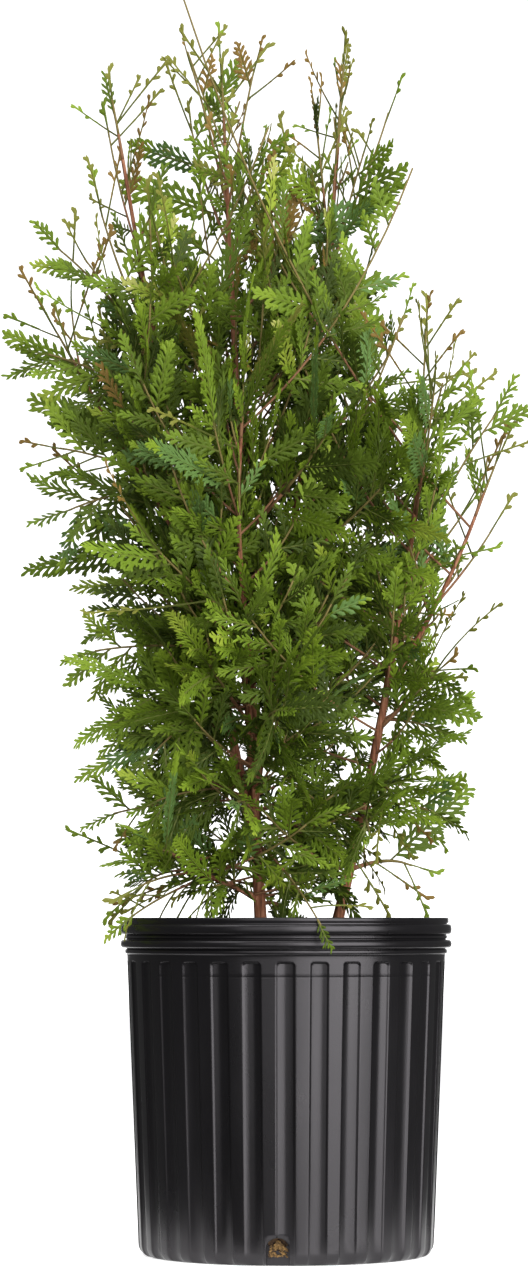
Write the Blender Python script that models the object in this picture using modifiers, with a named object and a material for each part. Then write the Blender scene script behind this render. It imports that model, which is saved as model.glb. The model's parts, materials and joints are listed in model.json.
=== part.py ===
"""Potted arborvitae: a young evergreen with several upright stems, in a fluted nursery pot.

Metres, +Z up. The origin is the middle of the pot's flat underside, and the front faces -Y.
The stems are tapering tubes. Each mass of foliage is one arching stem with toothed blades
fused along both of its sides, and each blade stands for one flat spray.
"""

import math
import random
from collections import namedtuple

import bmesh
import bpy
from mathutils import Matrix, Vector
from mathutils.bvhtree import BVHTree

# Clearances
GAP = 0.0003
BLADE_CLEARANCE = 0.0009
MERGE = 0.00001

# Pot
POT_HEIGHT = 0.245
POT_STEPS = 48
WALL = 0.0042
FLOOR = 0.0035
BODY_TOP_RADIUS = 0.1165
BODY_FOOT_RADIUS = 0.1078
BODY_TOP_DROP = 0.0275
FOOT_CORNER = 0.009
UNDERSIDE_RADIUS = 0.1010
RING_RADIUS = 0.1213
NECK_RADIUS = 0.1172
LIP_RADIUS = 0.1191
MOUTH_RADIUS = 0.1168
MOUTH_FLARE = 0.0003
MOUTH_DROP = 0.0215
LIP_DROPS = (0.0008, 0.0036)
UPPER_RING_DROPS = (0.0060, 0.0110)
NECK_DROP = 0.0140
LOWER_RING_DROPS = (0.0170, 0.0214)
LAST_NECK_DROP = 0.0235
FOOT_ROUND = (0.0045, 0.0022)
INNER_FOOT_INSET = 0.004
RIM_MIDDLE = 0.1167
RIM_HALF = 0.0047
FLUTES = 30
FLUTE_WIDTH = 0.0127
FLUTE_DEPTH = 0.0018
FLUTE_TOP_DROP = 0.0318
FLUTE_TURN = math.radians(-0.5)
FLUTE_CUTTER_DEPTH = 0.012
FLUTE_CUTTER_FOOT = -0.006
DRAIN_HOLES = 4
DRAIN_WIDTH = 0.017
DRAIN_HEIGHT = 0.020
DRAIN_TURN = math.radians(-3.6)
DRAIN_CUTTER_FOOT = -0.004
DRAIN_CUTTER_REACH = 0.016
DRAIN_ARC_STEPS = 8

# Growing mix in the pot
SOIL_TOP = 0.2170
SOIL_EDGE_DROP = 0.0035
SOIL_FLAT_RADIUS = 0.050

# Crown: how far the tips reach from the pot's axis at a few heights, by side
CROWN_LEFT = ((0.24, 0.135), (0.36, 0.168), (0.50, 0.190), (0.60, 0.192), (0.70, 0.207), (0.80, 0.148),
              (0.885, 0.125), (0.92, 0.060))
CROWN_RIGHT = ((0.26, 0.105), (0.32, 0.138), (0.50, 0.150), (0.64, 0.172), (0.71, 0.108), (0.84, 0.072),
               (0.91, 0.045))
CROWN_DEPTH = ((0.26, 0.110), (0.40, 0.150), (0.62, 0.165), (0.76, 0.115), (0.90, 0.045))

MASS_RISE = ((0.25, -0.020), (0.32, 0.005), (0.40, 0.035), (0.55, 0.080), (0.70, 0.105), (0.85, 0.09))
SPRAY_SIZE = ((0.25, 0.95), (0.50, 1.05), (0.68, 0.90), (0.85, 0.60))

# Limbs: azimuth in degrees from +X towards +Y, spread and top in metres
Limb = namedtuple("Limb", "name parent leaves azimuth spread top root tip bow masses turn")
TRUNK_FOOT = Vector((-0.0176, 0.0, SOIL_TOP + GAP))
SECOND_FOOT = Vector((0.0320, 0.004, SOIL_TOP + GAP))
LIMBS = (
    Limb("trunk", None, SOIL_TOP, 172, 0.028, 0.820, 0.0047, 0.0014, 0.1, 12, 60),
    Limb("stem_right", None, SOIL_TOP, 352, 0.070, 0.590, 0.0045, 0.0015, 0.4, 6, 75),
    Limb("stem_centre", "trunk", 0.330, 24, 0.068, 0.815, 0.0034, 0.0013, 0.3, 5, 60),
    Limb("stem_left", "trunk", 0.290, 186, 0.100, 0.805, 0.0034, 0.0013, 0.1, 6, 65),
    Limb("stem_back", "trunk", 0.366, 100, 0.085, 0.700, 0.0032, 0.0013, 0.3, 4, 50),
    Limb("stem_front", "trunk", 0.310, 262, 0.075, 0.590, 0.0028, 0.0012, 0.3, 3, 60),
    Limb("shoot_left", "stem_left", 0.500, 178, 0.085, 0.640, 0.0022, 0.0012, 0.1, 1, 60),
    Limb("shoot_right", "stem_right", 0.410, 356, 0.066, 0.540, 0.0022, 0.0012, 0.3, 1, 60),
    Limb("bough_low_left", "trunk", 0.258, 216, 0.066, 0.285, 0.0026, 0.0013, 0.1, 2, 55),
)
FLARE_HEIGHT = 0.018
FLARE_GROWTH = 0.75
LIMB_POINTS = 9
TRUNK_POINTS = 14
LIMB_SWAY = 0.0035
TAPER_POWER = 0.8
FLARED_SPACING = 1.6

# Foliage masses
SEED = 39
GOLDEN_TURN = 137.5
TRUNK_MASSES = (0.05, 0.87, 1.35)
LIMB_MASSES = (0.10, 0.84)
AZIMUTH_SCATTER = 0.15
RISE_SCATTER = 0.012
ROOT_SINK = 0.5
THINNER = 0.8
BLADE_OVERHANG = 0.62
BEND_OUT = 0.62
BEND_UP = 0.35
BEND_LIFT = 0.010
FAN_CYCLE = (0.3, -1.0, -0.3, 1.0)
TIP_STEM = 0.045
TIP_LOOK_BACK = 0.93
TIP_LEAN = 0.2
TIP_CLIMB = 0.1
LOW_TIP_DROOP = -0.35
LOW_LIMB_TOP = 0.4
TIP_FACING = (70, 110)
TIP_GIRTH = 0.75
FAN_TURN = (0, 40)
MASS_STEM_ROOT = 0.0023
MASS_STEM_TIP = 0.0014
MASS_STEM_POINTS = 4
STEM_TREE_RINGS = 7
STEM_CLEAR_START = 0.14
STEM_ROOT_START = 0.02
STEM_TRIES = 19
STEM_SHRINK = 0.98
STEM_NUDGE = 0.16
LEAST_RUN = 0.045
LEAST_BLADES = 3
MOST_BLADES = 4
BLADE_SPACING = 0.030
FIRST_BLADE = 0.20
BLADE_LENGTH = 0.112
BLADE_THICKNESS = 0.0012
BLADE_ROOT_WIDTH = 0.0016
BLADE_WIDTH = 0.31
SLIM_WIDTH = 0.45
BLADE_SCATTER = (0.92, 1.08)
LAST_SIDE_BLADE = 0.96
END_BLADE = (0.94, 0.72)
BLADE_SHORTENING = 0.28
BLADE_STALK = 0.09
BLADE_SKIP = 0.004
BLADE_TURN = (36, 54)
BLADE_TILT = 24
BLADE_ROLL = 28
BLADE_TRIES = 24
REACH_SLACK = 0.006
LOWEST_TIP = 0.205
BLADE_SHRINK = 0.972
POT_MARGIN = 0.003
LEFT_PEAKS = (0.40, 0.70)
RIGHT_PEAKS = (0.55, 0.83)
PEAK_FALL = 0.55
TOOTH_LEAN = 0.08
NOTCH = 0.38

BARK = ("bark", (0.30, 0.16, 0.09), 0.85)
LEAF = ("leaf", (0.10, 0.20, 0.03), 0.55)
BLACK = ("pot_black", (0.013, 0.012, 0.013), 0.38)
MIX = ("bark_mix", (0.10, 0.06, 0.03), 0.95)


# Blender helpers


def clear_scene():
    for item in list(bpy.data.objects):
        bpy.data.objects.remove(item, do_unlink=True)


def make_collection(name):
    made = bpy.data.collections.new(name)
    bpy.context.scene.collection.children.link(made)
    return made


def make_material(spec):
    name, colour, roughness = spec
    material = bpy.data.materials.get(name) or bpy.data.materials.new(name)
    material.use_nodes = True
    shader = material.node_tree.nodes["Principled BSDF"]
    shader.inputs["Base Color"].default_value = (*colour, 1.0)
    shader.inputs["Roughness"].default_value = roughness
    shader.inputs["Metallic"].default_value = 0.0
    material.diffuse_color = (*colour, 1.0)
    return material


def add_object(name, mesh, collection, spec=None):
    made = bpy.data.objects.new(name, mesh)
    collection.objects.link(made)
    if spec:
        mesh.materials.clear()
        mesh.materials.append(make_material(spec))
    return made


def evaluated_mesh(item):
    """The object's mesh with its modifiers applied, in world space."""
    graph = bpy.context.evaluated_depsgraph_get()
    mesh = bpy.data.meshes.new_from_object(item.evaluated_get(graph))
    mesh.transform(item.matrix_world)
    return mesh


def apply_modifiers(item):
    mesh = evaluated_mesh(item)
    item.modifiers.clear()
    item.data = mesh
    mesh.name = item.name


def face_outwards(mesh):
    """Weld what coincides and turn every face outwards."""
    shell = bmesh.new()
    shell.from_mesh(mesh)
    bmesh.ops.remove_doubles(shell, verts=shell.verts, dist=MERGE)
    bmesh.ops.recalc_face_normals(shell, faces=shell.faces)
    shell.to_mesh(mesh)
    shell.free()


def mesh_from_curve(curve, matrix=None):
    """A curve's surface as a mesh with its caps welded on."""
    holder = bpy.data.objects.new("outline", curve)
    bpy.context.scene.collection.objects.link(holder)
    bpy.context.view_layer.update()
    mesh = evaluated_mesh(holder)
    bpy.data.objects.remove(holder, do_unlink=True)
    bpy.data.curves.remove(curve)
    face_outwards(mesh)
    if matrix:
        mesh.transform(matrix)
    return mesh


def turned(name, profile, steps, collection, spec):
    """A turned piece. The profile runs down its outer side, as (radius, height) pairs."""
    mesh = bpy.data.meshes.new(name)
    points = [(radius, 0.0, height) for radius, height in profile]
    mesh.from_pydata(points, [(i, i + 1) for i in range(len(points) - 1)], [])
    item = add_object(name, mesh, collection, spec)
    screw = item.modifiers.new("turn", "SCREW")
    screw.steps = steps
    screw.render_steps = steps
    screw.use_merge_vertices = True
    screw.merge_threshold = MERGE
    screw.use_smooth_shade = True
    return item


def tube_mesh(points, radii, resolution):
    """A tapering tube with flat caps, 4 + 2 * resolution sides round."""
    curve = bpy.data.curves.new("tube", "CURVE")
    curve.dimensions = "3D"
    curve.bevel_depth = 1.0
    curve.bevel_resolution = resolution
    curve.use_fill_caps = True
    spline = curve.splines.new("POLY")
    spline.points.add(len(points) - 1)
    for place, point, radius in zip(spline.points, points, radii):
        place.co = (*point, 1.0)
        place.radius = radius
    return mesh_from_curve(curve)


def flat_mesh(outline, thickness, matrix):
    """A flat outline with a thickness, placed by a matrix."""
    curve = bpy.data.curves.new("flat", "CURVE")
    curve.dimensions = "2D"
    curve.fill_mode = "BOTH"
    curve.extrude = thickness / 2
    spline = curve.splines.new("POLY")
    spline.points.add(len(outline) - 1)
    for place, (along, across) in zip(spline.points, outline):
        place.co = (along, across, 0.0, 1.0)
    spline.use_cyclic_u = True
    return mesh_from_curve(curve, matrix)


def add_boolean(item, operation, operand, solver="EXACT"):
    """A Boolean with one object or a whole collection."""
    tool = item.modifiers.new(operation.lower(), "BOOLEAN")
    tool.operation = operation
    tool.solver = solver
    if isinstance(operand, bpy.types.Collection):
        tool.operand_type = "COLLECTION"
        tool.collection = operand
    else:
        tool.object = operand
    return tool


def hide_cutter(item):
    item.hide_render = True
    item.display_type = "WIRE"


# Pot and growing mix


def wall_radius(height):
    """Outer radius of the pot's straight side at a height."""
    top = POT_HEIGHT - BODY_TOP_DROP
    share = (height - FOOT_CORNER) / (top - FOOT_CORNER)
    return BODY_FOOT_RADIUS + (BODY_TOP_RADIUS - BODY_FOOT_RADIUS) * share


def inner_foot_radius():
    """Radius of the inside where the wall meets the floor."""
    return wall_radius(FLOOR) - WALL - INNER_FOOT_INSET


def pot_profile():
    """Inside from the floor up to the lip, then down the rings and the side to the underside."""
    top = POT_HEIGHT
    shoulder = top - BODY_TOP_DROP
    foot_out, foot_up = FOOT_ROUND
    lip = [(LIP_RADIUS, top - drop) for drop in LIP_DROPS]
    upper_ring = [(RING_RADIUS, top - drop) for drop in UPPER_RING_DROPS]
    lower_ring = [(RING_RADIUS, top - drop) for drop in LOWER_RING_DROPS]
    return [
        (0.0, FLOOR),
        (inner_foot_radius(), FLOOR),
        (wall_radius(shoulder) - WALL, shoulder),
        (MOUTH_RADIUS, top - MOUTH_DROP),
        (MOUTH_RADIUS + MOUTH_FLARE, top),
        *lip,
        *upper_ring,
        (NECK_RADIUS, top - NECK_DROP),
        *lower_ring,
        (NECK_RADIUS, top - LAST_NECK_DROP),
        (BODY_TOP_RADIUS, shoulder),
        (wall_radius(FOOT_CORNER), FOOT_CORNER),
        (UNDERSIDE_RADIUS + foot_out, foot_up),
        (UNDERSIDE_RADIUS, 0.0),
        (0.0, 0.0),
    ]


def make_flute_cutters(collection):
    """Upright bars round the side that lean with the wall and end square below the rings."""
    top = POT_HEIGHT - FLUTE_TOP_DROP
    bottom = FLUTE_CUTTER_FOOT
    lean = math.atan2(BODY_TOP_RADIUS - BODY_FOOT_RADIUS, top - FOOT_CORNER)
    middle = (top + bottom) / 2
    depth = FLUTE_CUTTER_DEPTH
    for i in range(FLUTES):
        bpy.ops.mesh.primitive_cube_add(size=1.0)
        bar = bpy.context.object
        bar.name = f"flute_cutter_{i + 1:02d}"
        bar.data.transform(Matrix.Diagonal((depth, FLUTE_WIDTH, top - bottom, 1.0)))
        out = wall_radius(middle) - FLUTE_DEPTH + depth / 2
        turn = Matrix.Rotation(-math.pi / 2 + FLUTE_TURN + i * math.tau / FLUTES, 4, "Z")
        place = Matrix.Translation((out, 0.0, middle)) @ Matrix.Rotation(lean, 4, "Y")
        bar.data.transform(turn @ place)
        collect(bar, collection)
        hide_cutter(bar)


def collect(item, collection):
    """Move an object into one collection."""
    for other in list(item.users_collection):
        other.objects.unlink(item)
    collection.objects.link(item)


def arch_outline():
    """A drain hole seen from outside: straight sides and a round top."""
    half = DRAIN_WIDTH / 2
    spring = DRAIN_HEIGHT - half
    turns = [i * math.pi / DRAIN_ARC_STEPS for i in range(DRAIN_ARC_STEPS + 1)]
    arc = [(spring + half * math.sin(turn), half * math.cos(turn)) for turn in turns]
    return [(DRAIN_CUTTER_FOOT, half)] + arc + [(DRAIN_CUTTER_FOOT, -half)]


def make_drain_cutters(collection):
    for i in range(DRAIN_HOLES):
        turn = Matrix.Rotation(-math.pi / 2 + DRAIN_TURN + i * math.tau / DRAIN_HOLES, 4, "Z")
        upright = Matrix(((0, 0, 1, 0), (0, 1, 0, 0), (1, 0, 0, 0), (0, 0, 0, 1)))
        place = Matrix.Translation((BODY_FOOT_RADIUS, 0.0, 0.0)) @ upright
        mesh = flat_mesh(arch_outline(), DRAIN_CUTTER_REACH, turn @ place)
        face_outwards(mesh)
        hide_cutter(add_object(f"drain_cutter_{i + 1}", mesh, collection))


def make_pot(parts):
    pot = turned("pot", pot_profile(), POT_STEPS, parts, BLACK)
    flutes = make_collection("flute_cutters")
    make_flute_cutters(flutes)
    drains = make_collection("drain_cutters")
    make_drain_cutters(drains)
    add_boolean(pot, "DIFFERENCE", flutes)
    add_boolean(pot, "DIFFERENCE", drains)
    return pot


def make_soil(parts):
    """Bark mix that fills the pot, clear of its wall and floor."""
    edge = SOIL_TOP - SOIL_EDGE_DROP
    profile = (
        (0.0, SOIL_TOP),
        (SOIL_FLAT_RADIUS, SOIL_TOP),
        (wall_radius(edge) - WALL - 2 * GAP, edge),
        (inner_foot_radius() - 2 * GAP, FLOOR + GAP),
        (0.0, FLOOR + GAP),
    )
    return turned("soil", profile, POT_STEPS, parts, MIX)


# Limbs


def limb_named(name):
    return next(limb for limb in LIMBS if limb.name == name)


def limb_base(limb):
    """Where a limb starts: on the mix, or on its parent's axis at the height it leaves."""
    if limb.name == "trunk":
        return TRUNK_FOOT
    if limb.parent is None:
        return SECOND_FOOT
    parent = limb_named(limb.parent)
    low, high = 0.0, 1.0
    for _ in range(30):
        middle = (low + high) / 2
        if limb_point(parent, middle).z < limb.leaves:
            low = middle
        else:
            high = middle
    return limb_point(parent, low)


def limb_point(limb, t):
    """A point on a limb's axis: out along its azimuth, up to its top, with a slight sway."""
    base = limb_base(limb)
    turn = math.radians(limb.azimuth)
    outward = Vector((math.cos(turn), math.sin(turn), 0.0))
    sideways = Vector((-outward.y, outward.x, 0.0))
    out = limb.spread * ((1 - limb.bow) * t + limb.bow * math.sin(math.pi * t / 2))
    rise = (limb.top - base.z) * t
    sway = LIMB_SWAY * math.sin(math.tau * t) * min(1.0, 4 * t)
    return base + outward * out + sideways * sway + Vector((0, 0, rise))


def limb_radius(limb, t):
    """Taper from root to tip, with a flare where a limb stands on the mix."""
    plain = limb.root + (limb.tip - limb.root) * t ** TAPER_POWER
    if limb.parent:
        return plain
    climb = t * (limb.top - SOIL_TOP)
    return plain * (1 + FLARE_GROWTH * math.exp(-climb / (FLARE_HEIGHT / 2)))


def limb_steps(limb):
    """Shares of the length where a limb has a ring of points, closer at a flared foot."""
    count = TRUNK_POINTS if limb.name == "trunk" else LIMB_POINTS
    power = 1.0 if limb.parent else FLARED_SPACING
    return [(i / (count - 1)) ** power for i in range(count)]


def limb_tube(limb, grow=0.0):
    steps = limb_steps(limb)
    points = [limb_point(limb, t) for t in steps]
    radii = [limb_radius(limb, t) + grow for t in steps]
    if limb.parent is None:
        points[1] = Vector((points[0].x, points[0].y, points[1].z))
    return tube_mesh(points, radii, 2 if limb.name == "trunk" else 1)


def make_limbs(parts, cutters):
    """Every limb, cut clear of the one that carries it, and a fatter sleeve of each."""
    sleeves = {}
    for limb in LIMBS:
        sleeve = add_object(limb.name + "_sleeve", limb_tube(limb, GAP), cutters)
        hide_cutter(sleeve)
        sleeves[limb.name] = sleeve
        item = add_object(limb.name, limb_tube(limb), parts, BARK)
        if limb.parent:
            add_boolean(item, "DIFFERENCE", sleeves[limb.parent])
            apply_modifiers(item)
    return sleeves


# Foliage masses


def table_value(rows, height):
    """Straight interpolation in a few (height, value) rows."""
    if height <= rows[0][0]:
        return rows[0][1]
    for (low, a), (high, b) in zip(rows, rows[1:]):
        if height <= high:
            return a + (b - a) * (height - low) / (high - low)
    return rows[-1][1]


def crown_reach(azimuth, height):
    """How far the tips reach from the pot's axis in a direction at a height."""
    side = table_value(CROWN_LEFT if math.cos(azimuth) < 0 else CROWN_RIGHT, height)
    depth = table_value(CROWN_DEPTH, height)
    share = math.cos(azimuth) ** 2
    return side * share + depth * (1 - share)


def mass_rise(height):
    """How much a mass's tip stands above its root: it droops low down and climbs high up."""
    return table_value(MASS_RISE, height)


def spray_size(height):
    """Relative length of the blades: they shorten towards the top."""
    return table_value(SPRAY_SIZE, height)


Mass = namedtuple("Mass", "name limb path facing slim girth")


def side_mass(limb, index, rng, nudge, shorten):
    """An arching stem that leaves a limb's side and ends short of the crown's outline."""
    share = (index + 0.5) / limb.masses
    if limb.name == "trunk":
        low, span, power = TRUNK_MASSES
        t = low + span * share ** power
        azimuth = math.radians(limb.turn + GOLDEN_TURN * index)
    else:
        low, span = LIMB_MASSES
        t = low + span * share
        azimuth = math.radians(limb.azimuth + limb.turn * FAN_CYCLE[index % len(FAN_CYCLE)])
    azimuth += rng.uniform(-AZIMUTH_SCATTER, AZIMUTH_SCATTER) + nudge
    outward = Vector((math.cos(azimuth), math.sin(azimuth), 0.0))
    root = limb_point(limb, t) + outward * limb_radius(limb, t) * ROOT_SINK
    rise = mass_rise(root.z) + rng.uniform(-RISE_SCATTER, RISE_SCATTER)
    girth = min(MASS_STEM_ROOT, limb_radius(limb, t) * THINNER)
    reach = crown_reach(azimuth, root.z + rise)
    run = reach - Vector((root.x, root.y, 0.0)).dot(outward) - BLADE_LENGTH * BLADE_OVERHANG
    run = max(LEAST_RUN, run * shorten)
    bend = root + outward * run * BEND_OUT + Vector((0, 0, rise * BEND_UP + BEND_LIFT))
    tip = root + outward * run + Vector((0, 0, rise))
    facing = 90 + rng.uniform(*FAN_TURN) * rng.choice((-1, 1))
    return Mass(f"foliage_{limb.name}_{index + 1:02d}", limb, (root, bend, tip), facing, False,
                girth)


def tip_mass(limb, rng):
    """The growth that carries a limb on from its tip."""
    root = limb_point(limb, 1.0)
    along = (root - limb_point(limb, TIP_LOOK_BACK)).normalized()
    root = root + along * GAP
    outward = Vector((along.x, along.y, 0.0))
    bend = root + along * TIP_STEM / 2
    lift = LOW_TIP_DROOP if limb.top < LOW_LIMB_TOP else TIP_CLIMB
    tip = bend + (along + Vector((0, 0, lift)) + outward * TIP_LEAN).normalized() * TIP_STEM / 2
    return Mass(f"foliage_{limb.name}_tip", limb, (root, bend, tip), rng.uniform(*TIP_FACING),
                limb.name == "trunk", MASS_STEM_ROOT * TIP_GIRTH)


def arch_point(path, t):
    """A point on the quadratic curve through a root, its bend and its tip."""
    root, bend, tip = path
    return root * (1 - t) ** 2 + bend * 2 * t * (1 - t) + tip * t ** 2


def arch_frame(mass, t):
    """Place, forward direction, and normal of the mass's fan."""
    ahead = (arch_point(mass.path, t + 0.01) - arch_point(mass.path, t - 0.01)).normalized()
    level = ahead.cross(Vector((0, 0, 1)))
    level = level.normalized() if level.length > 0.05 else Vector((1, 0, 0))
    upright = level.cross(ahead).normalized()
    roll = Matrix.Rotation(math.radians(mass.facing), 3, ahead)
    return arch_point(mass.path, t), ahead, roll @ upright


def blade_outline(length, width):
    """A toothed blade: pointed teeth that lean forward, alternate on its two sides."""
    half = BLADE_ROOT_WIDTH / 2
    sides = []
    for peaks, sign in ((RIGHT_PEAKS, -1), (LEFT_PEAKS, 1)):
        side = [(0.0, sign * half), (length * BLADE_STALK, sign * half)]
        for peak in peaks:
            reach = width * (1 - PEAK_FALL * peak)
            side.append((length * peak, sign * reach))
            side.append((length * (peak - TOOTH_LEAN), sign * reach * NOTCH))
        sides.append(side)
    return sides[0] + [(length, 0.0)] + sides[1][::-1]


def blade_matrix(mass, t, side, rng):
    """A blade's place: its root on the stem, turned out to one side in the fan."""
    place, ahead, normal = arch_frame(mass, t)
    angle = math.radians(rng.uniform(*BLADE_TURN)) * side
    forward = Matrix.Rotation(angle, 3, normal) @ ahead
    across = normal.cross(forward).normalized()
    tilt = Matrix.Rotation(math.radians(rng.uniform(-BLADE_TILT, BLADE_TILT)), 3, across)
    forward = (tilt @ forward).normalized()
    roll = Matrix.Rotation(math.radians(rng.uniform(-BLADE_ROLL, BLADE_ROLL)), 3, forward)
    across = roll @ across
    face = forward.cross(across)
    return Matrix.Translation(place) @ Matrix((forward, across, face)).transposed().to_4x4()


def blade_tree(outline, matrix):
    """A search tree of a blade beyond its root, thicker than the blade by the clearance."""
    half = BLADE_THICKNESS / 2 + BLADE_CLEARANCE
    ring = [(max(along, BLADE_SKIP), across) for along, across in outline]
    count = len(ring)
    points = [matrix @ Vector((a, b, h)) for h in (half, -half) for a, b in ring]
    faces = [(i, (i + 1) % count, (i + 1) % count + count, i + count) for i in range(count)]
    caps = [tuple(range(count)), tuple(range(count, 2 * count))]
    return BVHTree.FromPolygons(points, faces + caps)


def mesh_tree(mesh):
    return BVHTree.FromPolygons([v.co for v in mesh.vertices], [f.vertices[:] for f in mesh.polygons])


def mass_slots(mass):
    """Shares of the stem where blades leave it, with their side and relative length."""
    root, bend, tip = mass.path
    length = (bend - root).length + (tip - bend).length
    count = max(LEAST_BLADES, min(MOST_BLADES, round(length / BLADE_SPACING)))
    slots = []
    for i in range(count):
        t = FIRST_BLADE + (LAST_SIDE_BLADE - FIRST_BLADE) * (i + 0.5) / count
        slots.append((t, 1 if i % 2 else -1, 1.0 - BLADE_SHORTENING * t))
    end, size = END_BLADE
    return slots + [(end, 0, size)]


def clear_of_pot(points):
    """Whether points stay off the mix, the rim and the space beside and under the pot's side."""
    for point in points:
        flat = math.hypot(point.x, point.y)
        if point.z < SOIL_TOP + POT_MARGIN and flat < RING_RADIUS + POT_MARGIN:
            return False
        if point.z < POT_HEIGHT + POT_MARGIN and abs(flat - RIM_MIDDLE) < RIM_HALF + POT_MARGIN:
            return False
    return min(point.z for point in points) > LOWEST_TIP


def outline_samples(outline, matrix):
    """Points along a blade's edges and middle, close enough to catch the rim."""
    ring = [Vector((along, across, 0)) for along, across in outline]
    middle = [Vector((outline[0][0] * (1 - i / 12) + outline[len(outline) // 2][0] * i / 12, 0, 0))
              for i in range(13)]
    edges = [a.lerp(b, i / 6) for a, b in zip(ring, ring[1:] + ring[:1]) for i in range(6)]
    return [matrix @ point for point in edges + middle]


def inside_crown(points):
    """Whether points stay within reach of the crown's outline."""
    for point in points:
        flat = math.hypot(point.x, point.y)
        if flat > crown_reach(math.atan2(point.y, point.x), point.z) + REACH_SLACK:
            return False
    return True


def place_blades(mass, taken, rng):
    """The blades of one mass that keep clear of all that stands already, and of each other."""
    placed, trees = [], []
    for t, side, share in mass_slots(mass):
        size = BLADE_LENGTH * share * spray_size(mass.path[0].z) * rng.uniform(*BLADE_SCATTER)
        for attempt in range(BLADE_TRIES):
            length = size * BLADE_SHRINK ** attempt
            outline = blade_outline(length, length * BLADE_WIDTH * (SLIM_WIDTH if mass.slim else 1.0))
            matrix = blade_matrix(mass, t, side, rng)
            samples = outline_samples(outline, matrix)
            if not clear_of_pot(samples) or not (mass.slim or inside_crown(samples)):
                continue
            tree = blade_tree(outline, matrix)
            if any(tree.overlap(other) for other in taken + trees):
                continue
            placed.append((outline, matrix))
            trees.append(tree)
            break
    return placed, trees


def make_mass(mass, placed, sleeve, parts):
    """Fuse the blades to the stem, and cut the stem clear of the limb that carries it."""
    steps = [i / (MASS_STEM_POINTS - 1) for i in range(MASS_STEM_POINTS)]
    points = [arch_point(mass.path, t) for t in steps]
    tip = min(MASS_STEM_TIP, mass.girth * THINNER)
    radii = [mass.girth + (tip - mass.girth) * t for t in steps]
    item = add_object(mass.name, tube_mesh(points, radii, 0), parts, LEAF)
    blades = make_collection(mass.name + "_blades")
    for outline, matrix in placed:
        add_object("blade", flat_mesh(outline, BLADE_THICKNESS, matrix), blades)
    add_boolean(item, "UNION", blades)
    if sleeve:
        add_boolean(item, "DIFFERENCE", sleeve)
    apply_modifiers(item)
    drop_scraps(item.data)
    for blade in list(blades.objects):
        bpy.data.objects.remove(blade, do_unlink=True)
    bpy.data.collections.remove(blades)
    return item


def stem_tree(mass, start):
    """A search tree of a mass's stem past its start, fatter by the clearance."""
    rings, faces = [], []
    reach = mass.girth + BLADE_CLEARANCE
    for i in range(STEM_TREE_RINGS):
        place, ahead, normal = arch_frame(mass, start + (1 - start) * i / (STEM_TREE_RINGS - 1))
        across = ahead.cross(normal)
        rings += [place + side * reach for side in (normal, across, -normal, -across)]
    for i in range(STEM_TREE_RINGS - 1):
        for k in range(4):
            a, b = 4 * i + k, 4 * i + (k + 1) % 4
            faces.append((a, b, b + 4, a + 4))
    return BVHTree.FromPolygons(rings, faces)


def drop_scraps(mesh):
    """Keep the largest body of a mesh: cutting a stem at its limb can leave a loose corner."""
    shell = bmesh.new()
    shell.from_mesh(mesh)
    bodies, left = [], set(shell.verts)
    while left:
        body, edge = set(), [left.pop()]
        while edge:
            vert = edge.pop()
            body.add(vert)
            near = {link.other_vert(vert) for link in vert.link_edges} & left
            left -= near
            edge += near
        bodies.append(body)
    keep = max(bodies, key=len)
    loose = [vert for body in bodies if body is not keep for vert in body]
    bmesh.ops.delete(shell, geom=loose, context="VERTS")
    shell.to_mesh(mesh)
    shell.free()


def find_stem(limb, index, rng, limb_trees, taken):
    """A mass whose stem is clear: each try turns further aside and is a little shorter."""
    for attempt in range(STEM_TRIES):
        nudge = STEM_NUDGE * ((attempt + 1) // 2) * (-1) ** attempt
        if index is None:
            mass = tip_mass(limb, rng)
        else:
            mass = side_mass(limb, index, rng, nudge, STEM_SHRINK ** attempt)
        samples = [arch_point(mass.path, i / 8) for i in range(1, 9)]
        outer, whole = stem_tree(mass, STEM_CLEAR_START), stem_tree(mass, STEM_ROOT_START)
        others = [tree for name, tree in limb_trees.items() if name != limb.name] + taken
        touched = any(whole.overlap(tree) for tree in others) or outer.overlap(limb_trees[limb.name])
        if not touched and clear_of_pot(samples):
            return mass, whole
    return None, None


def plan_crown(limb_trees):
    """Every mass that finds a clear place, with its blades: the limbs' tips come first."""
    order = [(limb, None) for limb in LIMBS]
    order += [(limb, index) for limb in LIMBS for index in range(limb.masses)]
    planned, taken = [], []
    for number, (limb, index) in enumerate(order):
        rng = random.Random(SEED + 101 * number)
        mass, tree = find_stem(limb, index, rng, limb_trees, taken)
        if mass:
            placed, trees = place_blades(mass, [*limb_trees.values(), *taken], rng)
            planned.append((mass, placed))
            taken.append(tree)
            taken += trees
    return planned


def make_crown(parts, sleeves):
    limb_trees = {name: mesh_tree(sleeve.data) for name, sleeve in sleeves.items()}
    for mass, placed in plan_crown(limb_trees):
        sleeve = None if mass.name.endswith("_tip") else sleeves[mass.limb.name]
        make_mass(mass, placed, sleeve, parts)


def main():
    clear_scene()
    parts = make_collection("potted_arborvitae")
    cutters = make_collection("limb_cutters")
    sleeves = make_limbs(parts, cutters)
    make_crown(parts, sleeves)
    make_soil(parts)
    make_pot(parts)


main()
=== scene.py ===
"""Looks of the potted arborvitae, built round its solids.

Metres, +Z up, the front faces -Y. The limbs and the arching stems of the foliage masses follow
the same rules and seed as the solids, and carry on from there to flat sprays: each spray has an
axis, alternate branchlets, and small blunt lobes of scale leaves.
"""

import json
import math
import random
from collections import namedtuple
from itertools import product

import bmesh
import bpy
import numpy as np
from mathutils import Matrix, Vector
from mathutils.bvhtree import BVHTree

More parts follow.
